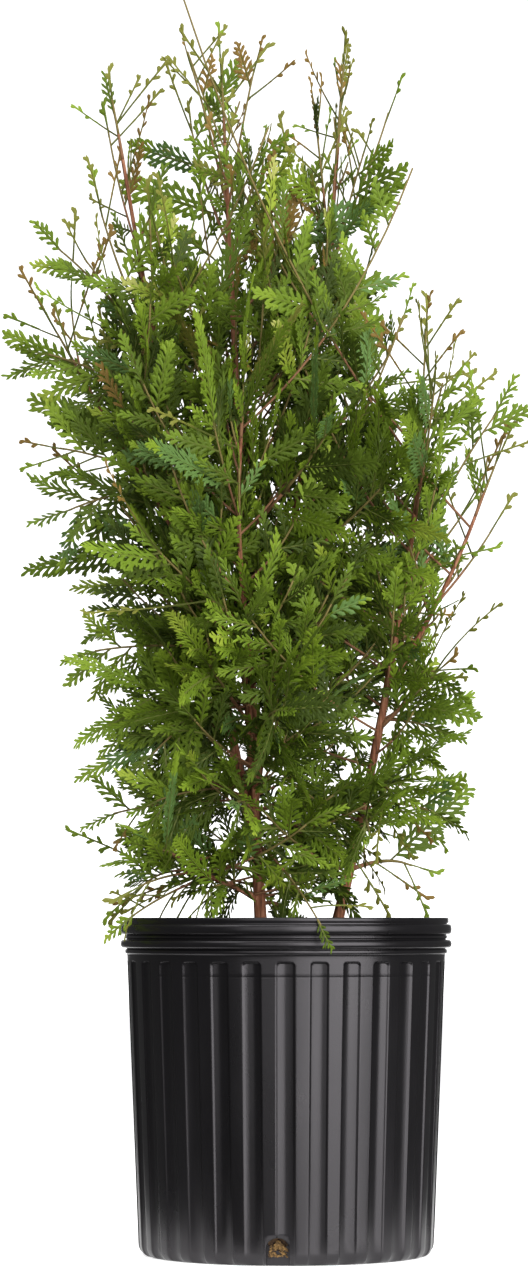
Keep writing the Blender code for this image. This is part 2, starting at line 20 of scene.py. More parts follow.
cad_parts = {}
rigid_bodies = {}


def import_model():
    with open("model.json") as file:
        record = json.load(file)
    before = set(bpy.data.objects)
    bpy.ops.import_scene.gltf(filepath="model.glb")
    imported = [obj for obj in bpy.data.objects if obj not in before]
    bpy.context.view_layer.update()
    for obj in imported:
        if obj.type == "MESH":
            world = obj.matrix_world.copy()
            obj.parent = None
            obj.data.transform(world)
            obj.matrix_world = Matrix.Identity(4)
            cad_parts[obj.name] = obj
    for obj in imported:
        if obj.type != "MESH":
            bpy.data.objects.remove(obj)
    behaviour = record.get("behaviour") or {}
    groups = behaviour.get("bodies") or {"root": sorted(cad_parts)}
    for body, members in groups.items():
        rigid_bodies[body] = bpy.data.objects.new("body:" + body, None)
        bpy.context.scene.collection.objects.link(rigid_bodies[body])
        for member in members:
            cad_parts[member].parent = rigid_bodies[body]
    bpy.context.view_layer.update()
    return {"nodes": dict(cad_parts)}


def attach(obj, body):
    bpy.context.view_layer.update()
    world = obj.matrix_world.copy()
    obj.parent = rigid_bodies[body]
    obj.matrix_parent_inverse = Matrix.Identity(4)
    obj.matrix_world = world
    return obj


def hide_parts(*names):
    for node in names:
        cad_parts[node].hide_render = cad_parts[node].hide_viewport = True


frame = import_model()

# Clearances
GAP = 0.0003
BLADE_CLEARANCE = 0.0009
MERGE = 0.00001

# Pot
POT_HEIGHT = 0.245
WALL = 0.0042
FLOOR = 0.0035
BODY_TOP_RADIUS = 0.1165
BODY_FOOT_RADIUS = 0.1078
BODY_TOP_DROP = 0.0275
FOOT_CORNER = 0.009
UNDERSIDE_RADIUS = 0.1010
RING_RADIUS = 0.1213
NECK_RADIUS = 0.1172
LIP_RADIUS = 0.1191
MOUTH_RADIUS = 0.1168
INNER_FOOT_INSET = 0.004
RIM_MIDDLE = 0.1167
RIM_HALF = 0.0047
FLUTES = 30
FLUTE_WIDTH = 0.0127
FLUTE_DEPTH = 0.0018
FLUTE_TOP_DROP = 0.0318
FLUTE_TURN = math.radians(-0.5)
DRAIN_HOLES = 4
DRAIN_WIDTH = 0.017
DRAIN_HEIGHT = 0.020
DRAIN_TURN = math.radians(-3.6)
DRAIN_CUTTER_FOOT = -0.004
DRAIN_CUTTER_REACH = 0.016
DRAIN_ARC_STEPS = 8

# Growing mix in the pot
SOIL_TOP = 0.2170
SOIL_EDGE_DROP = 0.0035
SOIL_FLAT_RADIUS = 0.050

# Crown: how far the tips reach from the pot's axis at a few heights, by side
CROWN_LEFT = ((0.24, 0.135), (0.36, 0.168), (0.50, 0.190), (0.60, 0.192), (0.70, 0.207), (0.80, 0.148),
              (0.885, 0.125), (0.92, 0.060))
CROWN_RIGHT = ((0.26, 0.105), (0.32, 0.138), (0.50, 0.150), (0.64, 0.172), (0.71, 0.108), (0.84, 0.072),
               (0.91, 0.045))
CROWN_DEPTH = ((0.26, 0.110), (0.40, 0.150), (0.62, 0.165), (0.76, 0.115), (0.90, 0.045))

MASS_RISE = ((0.25, -0.020), (0.32, 0.005), (0.40, 0.035), (0.55, 0.080), (0.70, 0.105), (0.85, 0.09))
SPRAY_SIZE = ((0.25, 0.95), (0.50, 1.05), (0.68, 0.90), (0.85, 0.60))

# Limbs: azimuth in degrees from +X towards +Y, spread and top in metres
Limb = namedtuple("Limb", "name parent leaves azimuth spread top root tip bow masses turn")
TRUNK_FOOT = Vector((-0.0176, 0.0, SOIL_TOP + GAP))
SECOND_FOOT = Vector((0.0320, 0.004, SOIL_TOP + GAP))
LIMBS = (
    Limb("trunk", None, SOIL_TOP, 172, 0.028, 0.820, 0.0047, 0.0014, 0.1, 12, 60),
    Limb("stem_right", None, SOIL_TOP, 352, 0.070, 0.590, 0.0045, 0.0015, 0.4, 6, 75),
    Limb("stem_centre", "trunk", 0.330, 24, 0.068, 0.815, 0.0034, 0.0013, 0.3, 5, 60),
    Limb("stem_left", "trunk", 0.290, 186, 0.100, 0.805, 0.0034, 0.0013, 0.1, 6, 65),
    Limb("stem_back", "trunk", 0.366, 100, 0.085, 0.700, 0.0032, 0.0013, 0.3, 4, 50),
    Limb("stem_front", "trunk", 0.310, 262, 0.075, 0.590, 0.0028, 0.0012, 0.3, 3, 60),
    Limb("shoot_left", "stem_left", 0.500, 178, 0.085, 0.640, 0.0022, 0.0012, 0.1, 1, 60),
    Limb("shoot_right", "stem_right", 0.410, 356, 0.066, 0.540, 0.0022, 0.0012, 0.3, 1, 60),
    Limb("bough_low_left", "trunk", 0.258, 216, 0.066, 0.285, 0.0026, 0.0013, 0.1, 2, 55),
)
FLARE_HEIGHT = 0.018
FLARE_GROWTH = 0.75
LIMB_POINTS = 9
TRUNK_POINTS = 14
LIMB_SWAY = 0.0035
TAPER_POWER = 0.8
FLARED_SPACING = 1.6

# Foliage masses
SEED = 39
GOLDEN_TURN = 137.5
TRUNK_MASSES = (0.05, 0.87, 1.35)
LIMB_MASSES = (0.10, 0.84)
AZIMUTH_SCATTER = 0.15
RISE_SCATTER = 0.012
ROOT_SINK = 0.5
THINNER = 0.8
BLADE_OVERHANG = 0.62
BEND_OUT = 0.62
BEND_UP = 0.35
BEND_LIFT = 0.010
FAN_CYCLE = (0.3, -1.0, -0.3, 1.0)
TIP_STEM = 0.045
TIP_LOOK_BACK = 0.93
TIP_LEAN = 0.2
TIP_CLIMB = 0.1
LOW_TIP_DROOP = -0.35
LOW_LIMB_TOP = 0.4
TIP_FACING = (70, 110)
TIP_GIRTH = 0.75
FAN_TURN = (0, 40)
MASS_STEM_ROOT = 0.0023
STEM_TREE_RINGS = 7
STEM_CLEAR_START = 0.14
STEM_ROOT_START = 0.02
STEM_TRIES = 19
STEM_SHRINK = 0.98
STEM_NUDGE = 0.16
LEAST_RUN = 0.045
LEAST_BLADES = 3
MOST_BLADES = 4
BLADE_SPACING = 0.030
FIRST_BLADE = 0.20
BLADE_LENGTH = 0.112
BLADE_THICKNESS = 0.0012
BLADE_ROOT_WIDTH = 0.0016
BLADE_WIDTH = 0.31
SLIM_WIDTH = 0.45
BLADE_SCATTER = (0.92, 1.08)
LAST_SIDE_BLADE = 0.96
END_BLADE = (0.94, 0.72)
BLADE_SHORTENING = 0.28
BLADE_STALK = 0.09
BLADE_SKIP = 0.004
BLADE_TURN = (36, 54)
BLADE_TILT = 24
BLADE_ROLL = 28
BLADE_TRIES = 24
REACH_SLACK = 0.006
LOWEST_TIP = 0.205
BLADE_SHRINK = 0.972
POT_MARGIN = 0.003
LEFT_PEAKS = (0.40, 0.70)
RIGHT_PEAKS = (0.55, 0.83)
PEAK_FALL = 0.55
TOOTH_LEAN = 0.08
NOTCH = 0.38

def evaluated_mesh(item):
    """The object's mesh with its modifiers applied, in world space."""
    graph = bpy.context.evaluated_depsgraph_get()
    mesh = bpy.data.meshes.new_from_object(item.evaluated_get(graph))
    mesh.transform(item.matrix_world)
    return mesh


def face_outwards(mesh):
    """Weld what coincides and turn every face outwards."""
    shell = bmesh.new()
    shell.from_mesh(mesh)
    bmesh.ops.remove_doubles(shell, verts=shell.verts, dist=MERGE)
    bmesh.ops.recalc_face_normals(shell, faces=shell.faces)
    shell.to_mesh(mesh)
    shell.free()


def mesh_from_curve(curve, matrix=None):
    """A curve's surface as a mesh with its caps welded on."""
    holder = bpy.data.objects.new("outline", curve)
    bpy.context.scene.collection.objects.link(holder)
    bpy.context.view_layer.update()
    mesh = evaluated_mesh(holder)
    bpy.data.objects.remove(holder, do_unlink=True)
    bpy.data.curves.remove(curve)
    face_outwards(mesh)
    if matrix:
        mesh.transform(matrix)
    return mesh


def tube_mesh(points, radii, resolution):
    """A tapering tube with flat caps, 4 + 2 * resolution sides round."""
    curve = bpy.data.curves.new("tube", "CURVE")
    curve.dimensions = "3D"
    curve.bevel_depth = 1.0
    curve.bevel_resolution = resolution
    curve.use_fill_caps = True
    spline = curve.splines.new("POLY")
    spline.points.add(len(points) - 1)
    for place, point, radius in zip(spline.points, points, radii):
        place.co = (*point, 1.0)
        place.radius = radius
    return mesh_from_curve(curve)


def flat_mesh(outline, thickness, matrix):
    """A flat outline with a thickness, placed by a matrix."""
    curve = bpy.data.curves.new("flat", "CURVE")
    curve.dimensions = "2D"
    curve.fill_mode = "BOTH"
    curve.extrude = thickness / 2
    spline = curve.splines.new("POLY")
    spline.points.add(len(outline) - 1)
    for place, (along, across) in zip(spline.points, outline):
        place.co = (along, across, 0.0, 1.0)
    spline.use_cyclic_u = True
    return mesh_from_curve(curve, matrix)


def wall_radius(height):
    """Outer radius of the pot's straight side at a height."""
    top = POT_HEIGHT - BODY_TOP_DROP
    share = (height - FOOT_CORNER) / (top - FOOT_CORNER)
    return BODY_FOOT_RADIUS + (BODY_TOP_RADIUS - BODY_FOOT_RADIUS) * share


def inner_foot_radius():
    """Radius of the inside where the wall meets the floor."""
    return wall_radius(FLOOR) - WALL - INNER_FOOT_INSET


def arch_outline():
    """A drain hole seen from outside: straight sides and a round top."""
    half = DRAIN_WIDTH / 2
    spring = DRAIN_HEIGHT - half
    turns = [i * math.pi / DRAIN_ARC_STEPS for i in range(DRAIN_ARC_STEPS + 1)]
    arc = [(spring + half * math.sin(turn), half * math.cos(turn)) for turn in turns]
    return [(DRAIN_CUTTER_FOOT, half)] + arc + [(DRAIN_CUTTER_FOOT, -half)]


def make_drain_cutters():
    """A collection with one cutter for each drain hole."""
    cutters = bpy.data.collections.new("drain_cutters")
    bpy.context.scene.collection.children.link(cutters)
    for i in range(DRAIN_HOLES):
        turn = Matrix.Rotation(-math.pi / 2 + DRAIN_TURN + i * math.tau / DRAIN_HOLES, 4, "Z")
        upright = Matrix(((0, 0, 1, 0), (0, 1, 0, 0), (1, 0, 0, 0), (0, 0, 0, 1)))
        place = Matrix.Translation((BODY_FOOT_RADIUS, 0.0, 0.0)) @ upright
        mesh = flat_mesh(arch_outline(), DRAIN_CUTTER_REACH, turn @ place)
        face_outwards(mesh)
        cutters.objects.link(bpy.data.objects.new(f"drain_cutter_{i + 1}", mesh))
    return cutters


def level_direction(azimuth):
    return Vector((math.cos(azimuth), math.sin(azimuth), 0.0))


def flat_frame(place, forward, across):
    """The place of a flat shape that runs forward from a point and has its width across."""
    face = forward.cross(across)
    return Matrix.Translation(place) @ Matrix((forward, across, face)).transposed().to_4x4()


def limb_named(name):
    return next(limb for limb in LIMBS if limb.name == name)


def limb_base(limb):
    """Where a limb starts: on the mix, or on its parent's axis at the height it leaves."""
    if limb.name == "trunk":
        return TRUNK_FOOT
    if limb.parent is None:
        return SECOND_FOOT
    parent = limb_named(limb.parent)
    low, high = 0.0, 1.0
    for _ in range(30):
        middle = (low + high) / 2
        if limb_point(parent, middle).z < limb.leaves:
            low = middle
        else:
            high = middle
    return limb_point(parent, low)


def limb_point(limb, t):
    """A point on a limb's axis: out along its azimuth, up to its top, with a slight sway."""
    base = limb_base(limb)
    outward = level_direction(math.radians(limb.azimuth))
    sideways = Vector((-outward.y, outward.x, 0.0))
    out = limb.spread * ((1 - limb.bow) * t + limb.bow * math.sin(math.pi * t / 2))
    rise = (limb.top - base.z) * t
    sway = LIMB_SWAY * math.sin(math.tau * t) * min(1.0, 4 * t)
    return base + outward * out + sideways * sway + Vector((0, 0, rise))


def limb_radius(limb, t):
    """Taper from root to tip, with a flare where a limb stands on the mix."""
    plain = limb.root + (limb.tip - limb.root) * t ** TAPER_POWER
    if limb.parent:
        return plain
    climb = t * (limb.top - SOIL_TOP)
    return plain * (1 + FLARE_GROWTH * math.exp(-climb / (FLARE_HEIGHT / 2)))


def limb_steps(limb):
    """Shares of the length where a limb has a ring of points, closer at a flared foot."""
    count = TRUNK_POINTS if limb.name == "trunk" else LIMB_POINTS
    power = 1.0 if limb.parent else FLARED_SPACING
    return [(i / (count - 1)) ** power for i in range(count)]


def limb_tube(limb, grow=0.0):
    steps = limb_steps(limb)
    points = [limb_point(limb, t) for t in steps]
    radii = [limb_radius(limb, t) + grow for t in steps]
    if limb.parent is None:
        points[1] = Vector((points[0].x, points[0].y, points[1].z))
    return tube_mesh(points, radii, 2 if limb.name == "trunk" else 1)


def table_value(rows, height):
    """Straight interpolation in a few (height, value) rows."""
    if height <= rows[0][0]:
        return rows[0][1]
    for (low, a), (high, b) in zip(rows, rows[1:]):
        if height <= high:
            return a + (b - a) * (height - low) / (high - low)
    return rows[-1][1]


def crown_reach(azimuth, height):
    """How far the tips reach from the pot's axis in a direction at a height."""
    side = table_value(CROWN_LEFT if math.cos(azimuth) < 0 else CROWN_RIGHT, height)
    depth = table_value(CROWN_DEPTH, height)
    share = math.cos(azimuth) ** 2
    return side * share + depth * (1 - share)


def mass_rise(height):
    """How much a mass's tip stands above its root: it droops low down and climbs high up."""
    return table_value(MASS_RISE, height)


def spray_size(height):
    """Relative length of the blades: they shorten towards the top."""
    return table_value(SPRAY_SIZE, height)


Mass = namedtuple("Mass", "name limb path facing slim girth")


def side_mass(limb, index, rng, nudge, shorten):
    """An arching stem that leaves a limb's side and ends short of the crown's outline."""
    share = (index + 0.5) / limb.masses
    if limb.name == "trunk":
        low, span, power = TRUNK_MASSES
        t = low + span * share ** power
        azimuth = math.radians(limb.turn + GOLDEN_TURN * index)
    else:
        low, span = LIMB_MASSES
        t = low + span * share
        azimuth = math.radians(limb.azimuth + limb.turn * FAN_CYCLE[index % len(FAN_CYCLE)])
    azimuth += rng.uniform(-AZIMUTH_SCATTER, AZIMUTH_SCATTER) + nudge
    outward = level_direction(azimuth)
    root = limb_point(limb, t) + outward * limb_radius(limb, t) * ROOT_SINK
    rise = mass_rise(root.z) + rng.uniform(-RISE_SCATTER, RISE_SCATTER)
    girth = min(MASS_STEM_ROOT, limb_radius(limb, t) * THINNER)
    reach = crown_reach(azimuth, root.z + rise)
    run = reach - Vector((root.x, root.y, 0.0)).dot(outward) - BLADE_LENGTH * BLADE_OVERHANG
    run = max(LEAST_RUN, run * shorten)
    bend = root + outward * run * BEND_OUT + Vector((0, 0, rise * BEND_UP + BEND_LIFT))
    tip = root + outward * run + Vector((0, 0, rise))
    facing = 90 + rng.uniform(*FAN_TURN) * rng.choice((-1, 1))
    return Mass(f"foliage_{limb.name}_{index + 1:02d}", limb, (root, bend, tip), facing, False,
                girth)


def tip_mass(limb, rng):
    """The growth that carries a limb on from its tip."""
    root = limb_point(limb, 1.0)
    along = (root - limb_point(limb, TIP_LOOK_BACK)).normalized()
    root = root + along * GAP
    outward = Vector((along.x, along.y, 0.0))
    bend = root + along * TIP_STEM / 2
    lift = LOW_TIP_DROOP if limb.top < LOW_LIMB_TOP else TIP_CLIMB
    tip = bend + (along + Vector((0, 0, lift)) + outward * TIP_LEAN).normalized() * TIP_STEM / 2
    return Mass(f"foliage_{limb.name}_tip", limb, (root, bend, tip), rng.uniform(*TIP_FACING),
                limb.name == "trunk", MASS_STEM_ROOT * TIP_GIRTH)


def arch_point(path, t):
    """A point on the quadratic curve through a root, its bend and its tip."""
    root, bend, tip = path
    return root * (1 - t) ** 2 + bend * 2 * t * (1 - t) + tip * t ** 2


def arch_frame(mass, t):
    """Place, forward direction, and normal of the mass's fan."""
    ahead = (arch_point(mass.path, t + 0.01) - arch_point(mass.path, t - 0.01)).normalized()
    level = ahead.cross(Vector((0, 0, 1)))
    level = level.normalized() if level.length > 0.05 else Vector((1, 0, 0))
    upright = level.cross(ahead).normalized()
    roll = Matrix.Rotation(math.radians(mass.facing), 3, ahead)
    return arch_point(mass.path, t), ahead, roll @ upright


def blade_outline(length, width):
    """A toothed blade: pointed teeth that lean forward, alternate on its two sides."""
    half = BLADE_ROOT_WIDTH / 2
    sides = []
    for peaks, sign in ((RIGHT_PEAKS, -1), (LEFT_PEAKS, 1)):
        side = [(0.0, sign * half), (length * BLADE_STALK, sign * half)]
        for peak in peaks:
            reach = width * (1 - PEAK_FALL * peak)
            side.append((length * peak, sign * reach))
            side.append((length * (peak - TOOTH_LEAN), sign * reach * NOTCH))
        sides.append(side)
    return sides[0] + [(length, 0.0)] + sides[1][::-1]


def blade_matrix(mass, t, side, rng):
    """A blade's place: its root on the stem, turned out to one side in the fan."""
    place, ahead, normal = arch_frame(mass, t)
    angle = math.radians(rng.uniform(*BLADE_TURN)) * side
    forward = Matrix.Rotation(angle, 3, normal) @ ahead
    across = normal.cross(forward).normalized()
    tilt = Matrix.Rotation(math.radians(rng.uniform(-BLADE_TILT, BLADE_TILT)), 3, across)
    forward = (tilt @ forward).normalized()
    roll = Matrix.Rotation(math.radians(rng.uniform(-BLADE_ROLL, BLADE_ROLL)), 3, forward)
    return flat_frame(place, forward, roll @ across)


def blade_tree(outline, matrix):
    """A search tree of a blade beyond its root, thicker than the blade by the clearance."""
    half = BLADE_THICKNESS / 2 + BLADE_CLEARANCE
    ring = [(max(along, BLADE_SKIP), across) for along, across in outline]
    count = len(ring)
    points = [matrix @ Vector((a, b, h)) for h in (half, -half) for a, b in ring]
    faces = [(i, (i + 1) % count, (i + 1) % count + count, i + count) for i in range(count)]
    caps = [tuple(range(count)), tuple(range(count, 2 * count))]
    return BVHTree.FromPolygons(points, faces + caps)


def mesh_tree(mesh):
    return BVHTree.FromPolygons([v.co for v in mesh.vertices], [f.vertices[:] for f in mesh.polygons])


def mass_slots(mass):
    """Shares of the stem where blades leave it, with their side and relative length."""
    root, bend, tip = mass.path
    length = (bend - root).length + (tip - bend).length
    count = max(LEAST_BLADES, min(MOST_BLADES, round(length / BLADE_SPACING)))
    slots = []
    for i in range(count):
        t = FIRST_BLADE + (LAST_SIDE_BLADE - FIRST_BLADE) * (i + 0.5) / count
        slots.append((t, 1 if i % 2 else -1, 1.0 - BLADE_SHORTENING * t))
    end, size = END_BLADE
    return slots + [(end, 0, size)]


def clear_of_pot(points):
    """Whether points stay off the mix, the rim and the space beside and under the pot's side."""
    for point in points:
        flat = math.hypot(point.x, point.y)
        if point.z < SOIL_TOP + POT_MARGIN and flat < RING_RADIUS + POT_MARGIN:
            return False
        if point.z < POT_HEIGHT + POT_MARGIN and abs(flat - RIM_MIDDLE) < RIM_HALF + POT_MARGIN:
            return False
    return min(point.z for point in points) > LOWEST_TIP


def outline_samples(outline, matrix):
    """Points along a blade's edges and middle, close enough to catch the rim."""
    ring = [Vector((along, across, 0)) for along, across in outline]
    middle = [Vector((outline[0][0] * (1 - i / 12) + outline[len(outline) // 2][0] * i / 12, 0, 0))
              for i in range(13)]
    edges = [a.lerp(b, i / 6) for a, b in zip(ring, ring[1:] + ring[:1]) for i in range(6)]
    return [matrix @ point for point in edges + middle]


def inside_crown(points):
    """Whether points stay within reach of the crown's outline."""
    for point in points:
        flat = math.hypot(point.x, point.y)
        if flat > crown_reach(math.atan2(point.y, point.x), point.z) + REACH_SLACK:
            return False
    return True


def place_blades(mass, taken, rng):
    """The blades of one mass that keep clear of all that stands already, and of each other."""
    placed, trees = [], []
    for t, side, share in mass_slots(mass):
        size = BLADE_LENGTH * share * spray_size(mass.path[0].z) * rng.uniform(*BLADE_SCATTER)
        for attempt in range(BLADE_TRIES):
            length = size * BLADE_SHRINK ** attempt
            outline = blade_outline(length, length * BLADE_WIDTH * (SLIM_WIDTH if mass.slim else 1.0))
            matrix = blade_matrix(mass, t, side, rng)
            samples = outline_samples(outline, matrix)
            if not clear_of_pot(samples) or not (mass.slim or inside_crown(samples)):
                continue
            tree = blade_tree(outline, matrix)
            if any(tree.overlap(other) for other in taken + trees):
                continue
            placed.append((outline, matrix))
            trees.append(tree)
            break
    return placed, trees


def stem_tree(mass, start):
    """A search tree of a mass's stem past its start, fatter by the clearance."""
    rings, faces = [], []
    reach = mass.girth + BLADE_CLEARANCE
    for i in range(STEM_TREE_RINGS):
        place, ahead, normal = arch_frame(mass, start + (1 - start) * i / (STEM_TREE_RINGS - 1))
        across = ahead.cross(normal)
        rings += [place + side * reach for side in (normal, across, -normal, -across)]
    for i in range(STEM_TREE_RINGS - 1):
        for k in range(4):
            a, b = 4 * i + k, 4 * i + (k + 1) % 4
            faces.append((a, b, b + 4, a + 4))
    return BVHTree.FromPolygons(rings, faces)


def find_stem(limb, index, rng, limb_trees, taken):
    """A mass whose stem is clear: each try turns further aside and is a little shorter."""
    for attempt in range(STEM_TRIES):
        nudge = STEM_NUDGE * ((attempt + 1) // 2) * (-1) ** attempt
        if index is None:
            mass = tip_mass(limb, rng)
        else:
            mass = side_mass(limb, index, rng, nudge, STEM_SHRINK ** attempt)
        samples = [arch_point(mass.path, i / 8) for i in range(1, 9)]
        outer, whole = stem_tree(mass, STEM_CLEAR_START), stem_tree(mass, STEM_ROOT_START)
        others = [tree for name, tree in limb_trees.items() if name != limb.name] + taken
        touched = any(whole.overlap(tree) for tree in others) or outer.overlap(limb_trees[limb.name])
        if not touched and clear_of_pot(samples):
            return mass, whole
    return None, None


def plan_crown(limb_trees):
    """Every mass that finds a clear place, with its blades: the limbs' tips come first."""
    order = [(limb, None) for limb in LIMBS]
    order += [(limb, index) for limb in LIMBS for index in range(limb.masses)]
    planned, taken = [], []
    for number, (limb, index) in enumerate(order):
        rng = random.Random(SEED + 101 * number)
        mass, tree = find_stem(limb, index, rng, limb_trees, taken)
        if mass:
            placed, trees = place_blades(mass, [*limb_trees.values(), *taken], rng)
            planned.append((mass, placed))
            taken.append(tree)
            taken += trees
    return planned


# Camera and light
CAMERA_DISTANCE = 3.0
CAMERA_SIDE = -0.0162
CAMERA_HEIGHT = 0.2445
AIM_HEIGHT = 0.4543
LENS = 116.0
LIGHT_AIM = Vector((0.0, 0.0, 0.45))
# Lights: name, place, width and height, and power
LIGHTS = (
    ("softbox", (1.50, -2.2, 0.85), (3.2, 2.7), 122.0),
    ("overhead", (-0.2, -0.3, 3.0), (2.8, 2.8), 62.0),
    ("left_fill", (-1.8, -1.4, 2.6), (1.2, 1.2), 12.0),
    ("front_fill", (-0.85, -2.75, 0.85), (1.5, 2.0), 13.0),
)
SKY_STRENGTH = 0.12
WALL_GLOW = 1.0
FLOOR_GLOW = 0.75
FLOOR_FRONT, FLOOR_SIDE = -0.15, 0.21
WALL_PLACE, WALL_SIDE, WALL_FOOT, WALL_TOP = 10.0, 2.45, -0.1, 6.2

# Fine growth
FROND_LENGTHS = (0.024, 0.034, 0.045, 0.057, 0.070, 0.085, 0.104, 0.125)
BROAD_KINDS, SLENDER_KINDS, BARE_KINDS = 2, 3, 2
FROND_KINDS = BROAD_KINDS + SLENDER_KINDS
STOCK_KINDS = FROND_KINDS + BARE_KINDS
BRANCHLET_SPACING = 0.0030
FINGER_SHARE = 0.24
FINGER_LEAST, FINGER_MOST = 0.0048, 0.0180
FINGER_SHAPE = ((0.0, 0.40), (0.12, 0.75), (0.28, 1.0), (0.52, 0.92), (0.80, 0.60), (1.0, 0.26))
LOBE_WIDTH, SLENDER_WIDTH = 0.0029, 0.0021
LOBE_THICKNESS = 0.0010
CHAIN_STEP = 0.0080
LOBE_SPACING = 0.0046
EXTRA_SPACING = 0.0100
TWIG_SPACING = 0.0135
TWIG_FROND_SPACING = 0.0112
DENSITY = ((0.30, 1.75), (0.45, 1.30), (0.58, 0.74), (0.68, 0.52), (0.80, 0.34), (0.90, 0.24))
SLENDER_SHARE = ((0.40, 0.85), (0.60, 0.65), (0.75, 0.30))
BARE_SHARE = ((0.60, 0.0), (0.72, 0.12), (0.80, 0.45), (0.86, 0.85))
TWIG_REACH = ((0.30, 1.0), (0.50, 1.0), (0.66, 0.75), (0.75, 0.30), (0.85, 0.16))
LAST_FROND = 0.040
HIGHEST_LEAF = 0.912

# Places open to the sky through the crown, as (x, height, half width, half height)
SKY_GAPS = (
    (-0.081, 0.852, 0.017, 0.028), (0.040, 0.829, 0.010, 0.036), (-0.133, 0.779, 0.024, 0.013),
    (-0.069, 0.774, 0.011, 0.009), (-0.117, 0.735, 0.011, 0.013), (-0.050, 0.738, 0.015, 0.013),
    (-0.174, 0.692, 0.038, 0.015), (-0.022, 0.850, 0.012, 0.028), (-0.146, 0.743, 0.018, 0.013),
    (0.108, 0.670, 0.027, 0.036), (0.139, 0.538, 0.018, 0.023), (0.126, 0.452, 0.016, 0.031),
    (0.092, 0.275, 0.043, 0.029), (-0.142, 0.297, 0.022, 0.011), (-0.092, 0.252, 0.030, 0.012),
    (-0.016, 0.625, 0.010, 0.018), (0.000, 0.560, 0.009, 0.020), (-0.085, 0.605, 0.012, 0.010),
    (0.157, 0.600, 0.014, 0.015), (-0.170, 0.578, 0.021, 0.009), (-0.134, 0.560, 0.009, 0.009),
    (-0.134, 0.516, 0.009, 0.009), (-0.105, 0.480, 0.008, 0.010), (0.050, 0.520, 0.008, 0.009),
)

# Long twigs: limb, height it leaves at, tip (x, y, height), and how far along it the fronds start
LONG_TWIGS = (
    ("stem_left", 0.660, (-0.190, -0.01, 0.762), 0.72), ("stem_left", 0.640, (-0.166, -0.02, 0.757), 0.70),
    ("stem_left", 0.620, (-0.204, -0.02, 0.672), 0.35), ("stem_left", 0.560, (-0.196, -0.03, 0.598), 0.30),
    ("shoot_left", 0.560, (-0.190, -0.02, 0.535), 0.30), ("trunk", 0.400, (-0.140, -0.03, 0.375), 0.35),
    ("trunk", 0.420, (-0.120, -0.05, 0.345), 0.35), ("stem_right", 0.500, (0.171, -0.01, 0.644), 0.60),
    ("stem_right", 0.560, (0.105, -0.02, 0.708), 0.62), ("stem_right", 0.420, (0.142, -0.02, 0.430), 0.30),
    ("stem_right", 0.390, (0.130, -0.04, 0.380), 0.30), ("stem_right", 0.330, (0.136, -0.03, 0.318), 0.40),
    ("stem_centre", 0.700, (0.066, -0.01, 0.842), 0.35), ("trunk", 0.730, (-0.010, -0.02, 0.830), 0.35),
    ("stem_centre", 0.740, (0.045, -0.03, 0.905), 0.55), ("trunk", 0.770, (-0.018, 0.0, 0.905), 0.75),
    ("trunk", 0.770, (-0.078, 0.0, 0.908), 0.75), ("stem_left", 0.740, (-0.134, 0.0, 0.876), 0.75),
    ("bough_low_left", 0.275, (-0.138, -0.06, 0.232), 0.40),
    ("bough_low_left", 0.278, (-0.128, -0.09, 0.262), 0.30),
    ("trunk", 0.330, (-0.158, -0.02, 0.318), 0.25), ("trunk", 0.340, (-0.118, -0.08, 0.325), 0.30),
    ("trunk", 0.300, (0.034, -0.150, 0.226), 0.40), ("stem_right", 0.320, (0.060, -0.130, 0.300), 0.30),
    ("trunk", 0.320, (-0.040, -0.120, 0.330), 0.30), ("trunk", 0.440, (-0.172, -0.02, 0.440), 0.30),
    ("stem_centre", 0.740, (0.018, -0.03, 0.866), 0.30),
)
LOWEST_TWIG = 0.252
BAY_DEPTH = 0.26
LIMB_SIDES = 20
LIMB_RING = 0.0035

# Chips of bark
CHIP_SIZE = (0.0060, 0.0026, 0.0011)
CHIP_SPACING = 0.0040
CHIP_FOOT_GAP = 0.0115
DRAIN_CHIPS = 70

# Colours, in display values
LEAF_COLOURS = {
    # deep and shade are darker greens; dealt to sprays inside the crown they are painted shade
    "deep": (60, 76, 18),
    "shade": (82, 102, 24),
    "mid": (102, 126, 30),
    "fresh": (120, 144, 38),
    "lime": (142, 160, 52),
    "cool": (92, 122, 60),
    "olive": (120, 122, 48),
    "bronze": (132, 106, 50),
    "pale": (168, 172, 90),
}
TWIG_COLOUR = (100, 108, 42)
STEM_PARTS = (("side_stems_brown", "bark", (136, 96, 66), 0.0, 0.42),
              ("side_stems_green", "leaf", (122, 108, 58), 0.42, 1.0))
BARK_COLOUR = (134, 82, 54)
BARK_STRETCH = (520.0, 520.0, 55.0)
BARK_STREAKS = ((0.30, (70, 40, 24)), (0.48, BARK_COLOUR), (0.60, (166, 114, 86)), (0.74, (184, 146, 118)))
MIX_COLOURS = ((44, 30, 20), (120, 92, 64))
CHIP_COLOURS = ((58, 36, 24), (156, 112, 74))
DRAIN_COLOURS = ((40, 26, 14), (150, 116, 66))
# How leaf colours are dealt: inside (mostly darker greens, as painted shade), outside and towards the top of
# the crown, and to bare stalks
INNER_PAINTED_SHADE_LEAVES = ("deep", "shade", "deep", "deep", "mid", "shade", "mid")
OUTER_LEAVES = ("mid", "fresh", "mid", "shade", "mid", "cool", "shade", "shade", "mid", "deep")
UPPER_LEAVES = ("mid", "olive", "shade", "fresh", "lime", "bronze", "mid", "shade", "olive", "mid")
BARE_LEAVES = ("olive", "bronze", "mid", "olive")
UPPER_FROM = (0.55, 1.0)
# Share of the crown's reach within which a spray may get the darker greens of painted shade
PAINTED_SHADE_WITHIN = (0.25, 0.75)
TIP_COLOURS = {"deep": "shade", "shade": "mid", "mid": "fresh", "fresh": "lime", "lime": "pale",
               "cool": "fresh", "olive": "olive", "bronze": "bronze", "pale": "pale"}
TIP_FROM = (0.60, 0.85)
LEAF_ROUGHNESS, LEAF_SHINE = 0.6, 0.25

